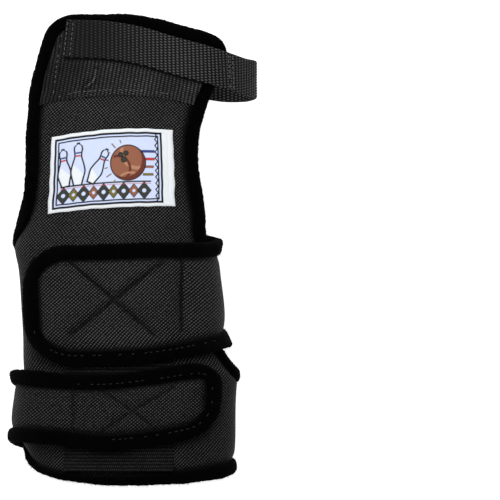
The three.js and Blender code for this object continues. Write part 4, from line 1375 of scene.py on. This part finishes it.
def lining_stitches():
    """On the suede: a sewn ring in the palm's hollow, and rows beside the tape of the hand's edges."""
    angle = np.linspace(0, 2 * math.pi, 160)
    y = PALM_RING["y"] + PALM_RING["radius"] * np.sin(angle)
    seams = [(turn_at(y, PALM_RING["x"] + PALM_RING["radius"] * np.cos(angle), 0), y)]
    y = np.linspace(SUEDE_SEAM["start"], SUEDE_SEAM["end"], 60) * LENGTH
    t, index = np.linspace(0, len(y) - 1, 240), range(len(y))
    for side in (-1, 1):
        turn = panel_edge(y, side) - side * SUEDE_SEAM["inset"] / girth(y)
        seams.append((np.interp(t, index, turn), np.interp(t, index, y)))
    runs = [on_surface(y, turn, SUEDE_SEAM["height"]) for turn, y in seams]
    stitches("lining_stitches", [(place, -normal) for place, normal in runs])


# Floor, light and camera

FLOOR_SIZE = 6
FLOOR_GLOW = 0.85  # the floor is a light table, so that it stays white under the glove's shadow
FLOOR_GREY = 0.85
WORLD_LIGHT = 0.3
# Each lamp: its place and aim in metres, its size in metres and its power in watts.
LAMPS = dict(
    lamp=dict(place=(-0.01, 0.07, 0.34), aim=(-0.01, 0.07, 0), size=0.2, power=0.84),
    key=dict(place=(-0.5, 1.4, 1.1), aim=(0, 0, 0.02), size=0.4, power=15),
)
CAMERA_DISTANCE = 5000
CAMERA_SENSOR = 36
CAMERA_REACH = 20  # metres
FOCUS_HEIGHT = 45  # the height at which the photograph's scale holds


def stage():
    mesh = bpy.data.meshes.new("floor")
    corners = [(x * FLOOR_SIZE, y * FLOOR_SIZE, 0) for x, y in ((-1, -1), (1, -1), (1, 1), (-1, 1))]
    mesh.from_pydata(corners, [], [(0, 1, 2, 3)])
    s = Shader("pale_floor")
    s.feed(s.surface, {"Emission Color": (1, 1, 1, 1), "Emission Strength": FLOOR_GLOW})
    mesh.materials.append(s.finish(grey(FLOOR_GREY), 0.9, None, 0.1))
    floor = place_object("floor", mesh)
    floor.visible_diffuse = False  # the glove's sides stay dark above it, as in the photograph


def area_light(name, place, aim, size, power):
    data = bpy.data.lights.new(name, "AREA")
    data.shape = "SQUARE"
    data.size, data.energy = size, power
    light = place_object(name, data)
    light.location = place
    light.rotation_euler = (Vector(aim) - Vector(place)).to_track_quat("-Z", "Y").to_euler()


def world_light():
    world = bpy.data.worlds.new("studio")
    world.use_nodes = True
    background = world.node_tree.nodes["Background"]
    background.inputs[0].default_value = (1, 1, 1, 1)
    background.inputs[1].default_value = WORLD_LIGHT
    bpy.context.scene.world = world


def camera():
    data = bpy.data.cameras.new("camera")
    data.sensor_width = CAMERA_SENSOR
    data.lens = CAMERA_SENSOR * (CAMERA_DISTANCE - FOCUS_HEIGHT) * PHOTO_SCALE / PHOTO_SIZE
    data.clip_end = CAMERA_REACH
    made = place_object("camera", data)
    x, y = photo(PHOTO_SIZE / 2, PHOTO_SIZE / 2)
    made.location = Vector((x, y, CAMERA_DISTANCE)) * MM + Vector(SHIFT)
    bpy.context.scene.camera = made


panel_cloth()
lining_suede()
for which, sizes in STRAPS.items():
    strap(which, **sizes)
for which, sizes in STRAPS.items():
    hook_patch(which, **sizes)
tape_line, tape_side, tape_sewn = edge_tapes()
wrist_loop()
knuckle_loop()
knuckle_webbing()
sewn_label()
strap_stitches(tape_line, tape_side, tape_sewn)
stitches("quilt_stitches", [back_line(line, STRAP_TOP - SEW_DEPTH) for line in UPPER_QUILT + LOWER_QUILT])
webbing_stitches()
stitches("loop_patch_stitches", [back_line(row, LOOP_OUT + 0.12) for row in (PATCH_ROW, PATCH_SIDE_ROW)])
lining_stitches()
stage()
world_light()
for name, lamp in LAMPS.items():
    area_light(name, **lamp)
camera()
bpy.context.scene.view_settings.view_transform = "Standard"
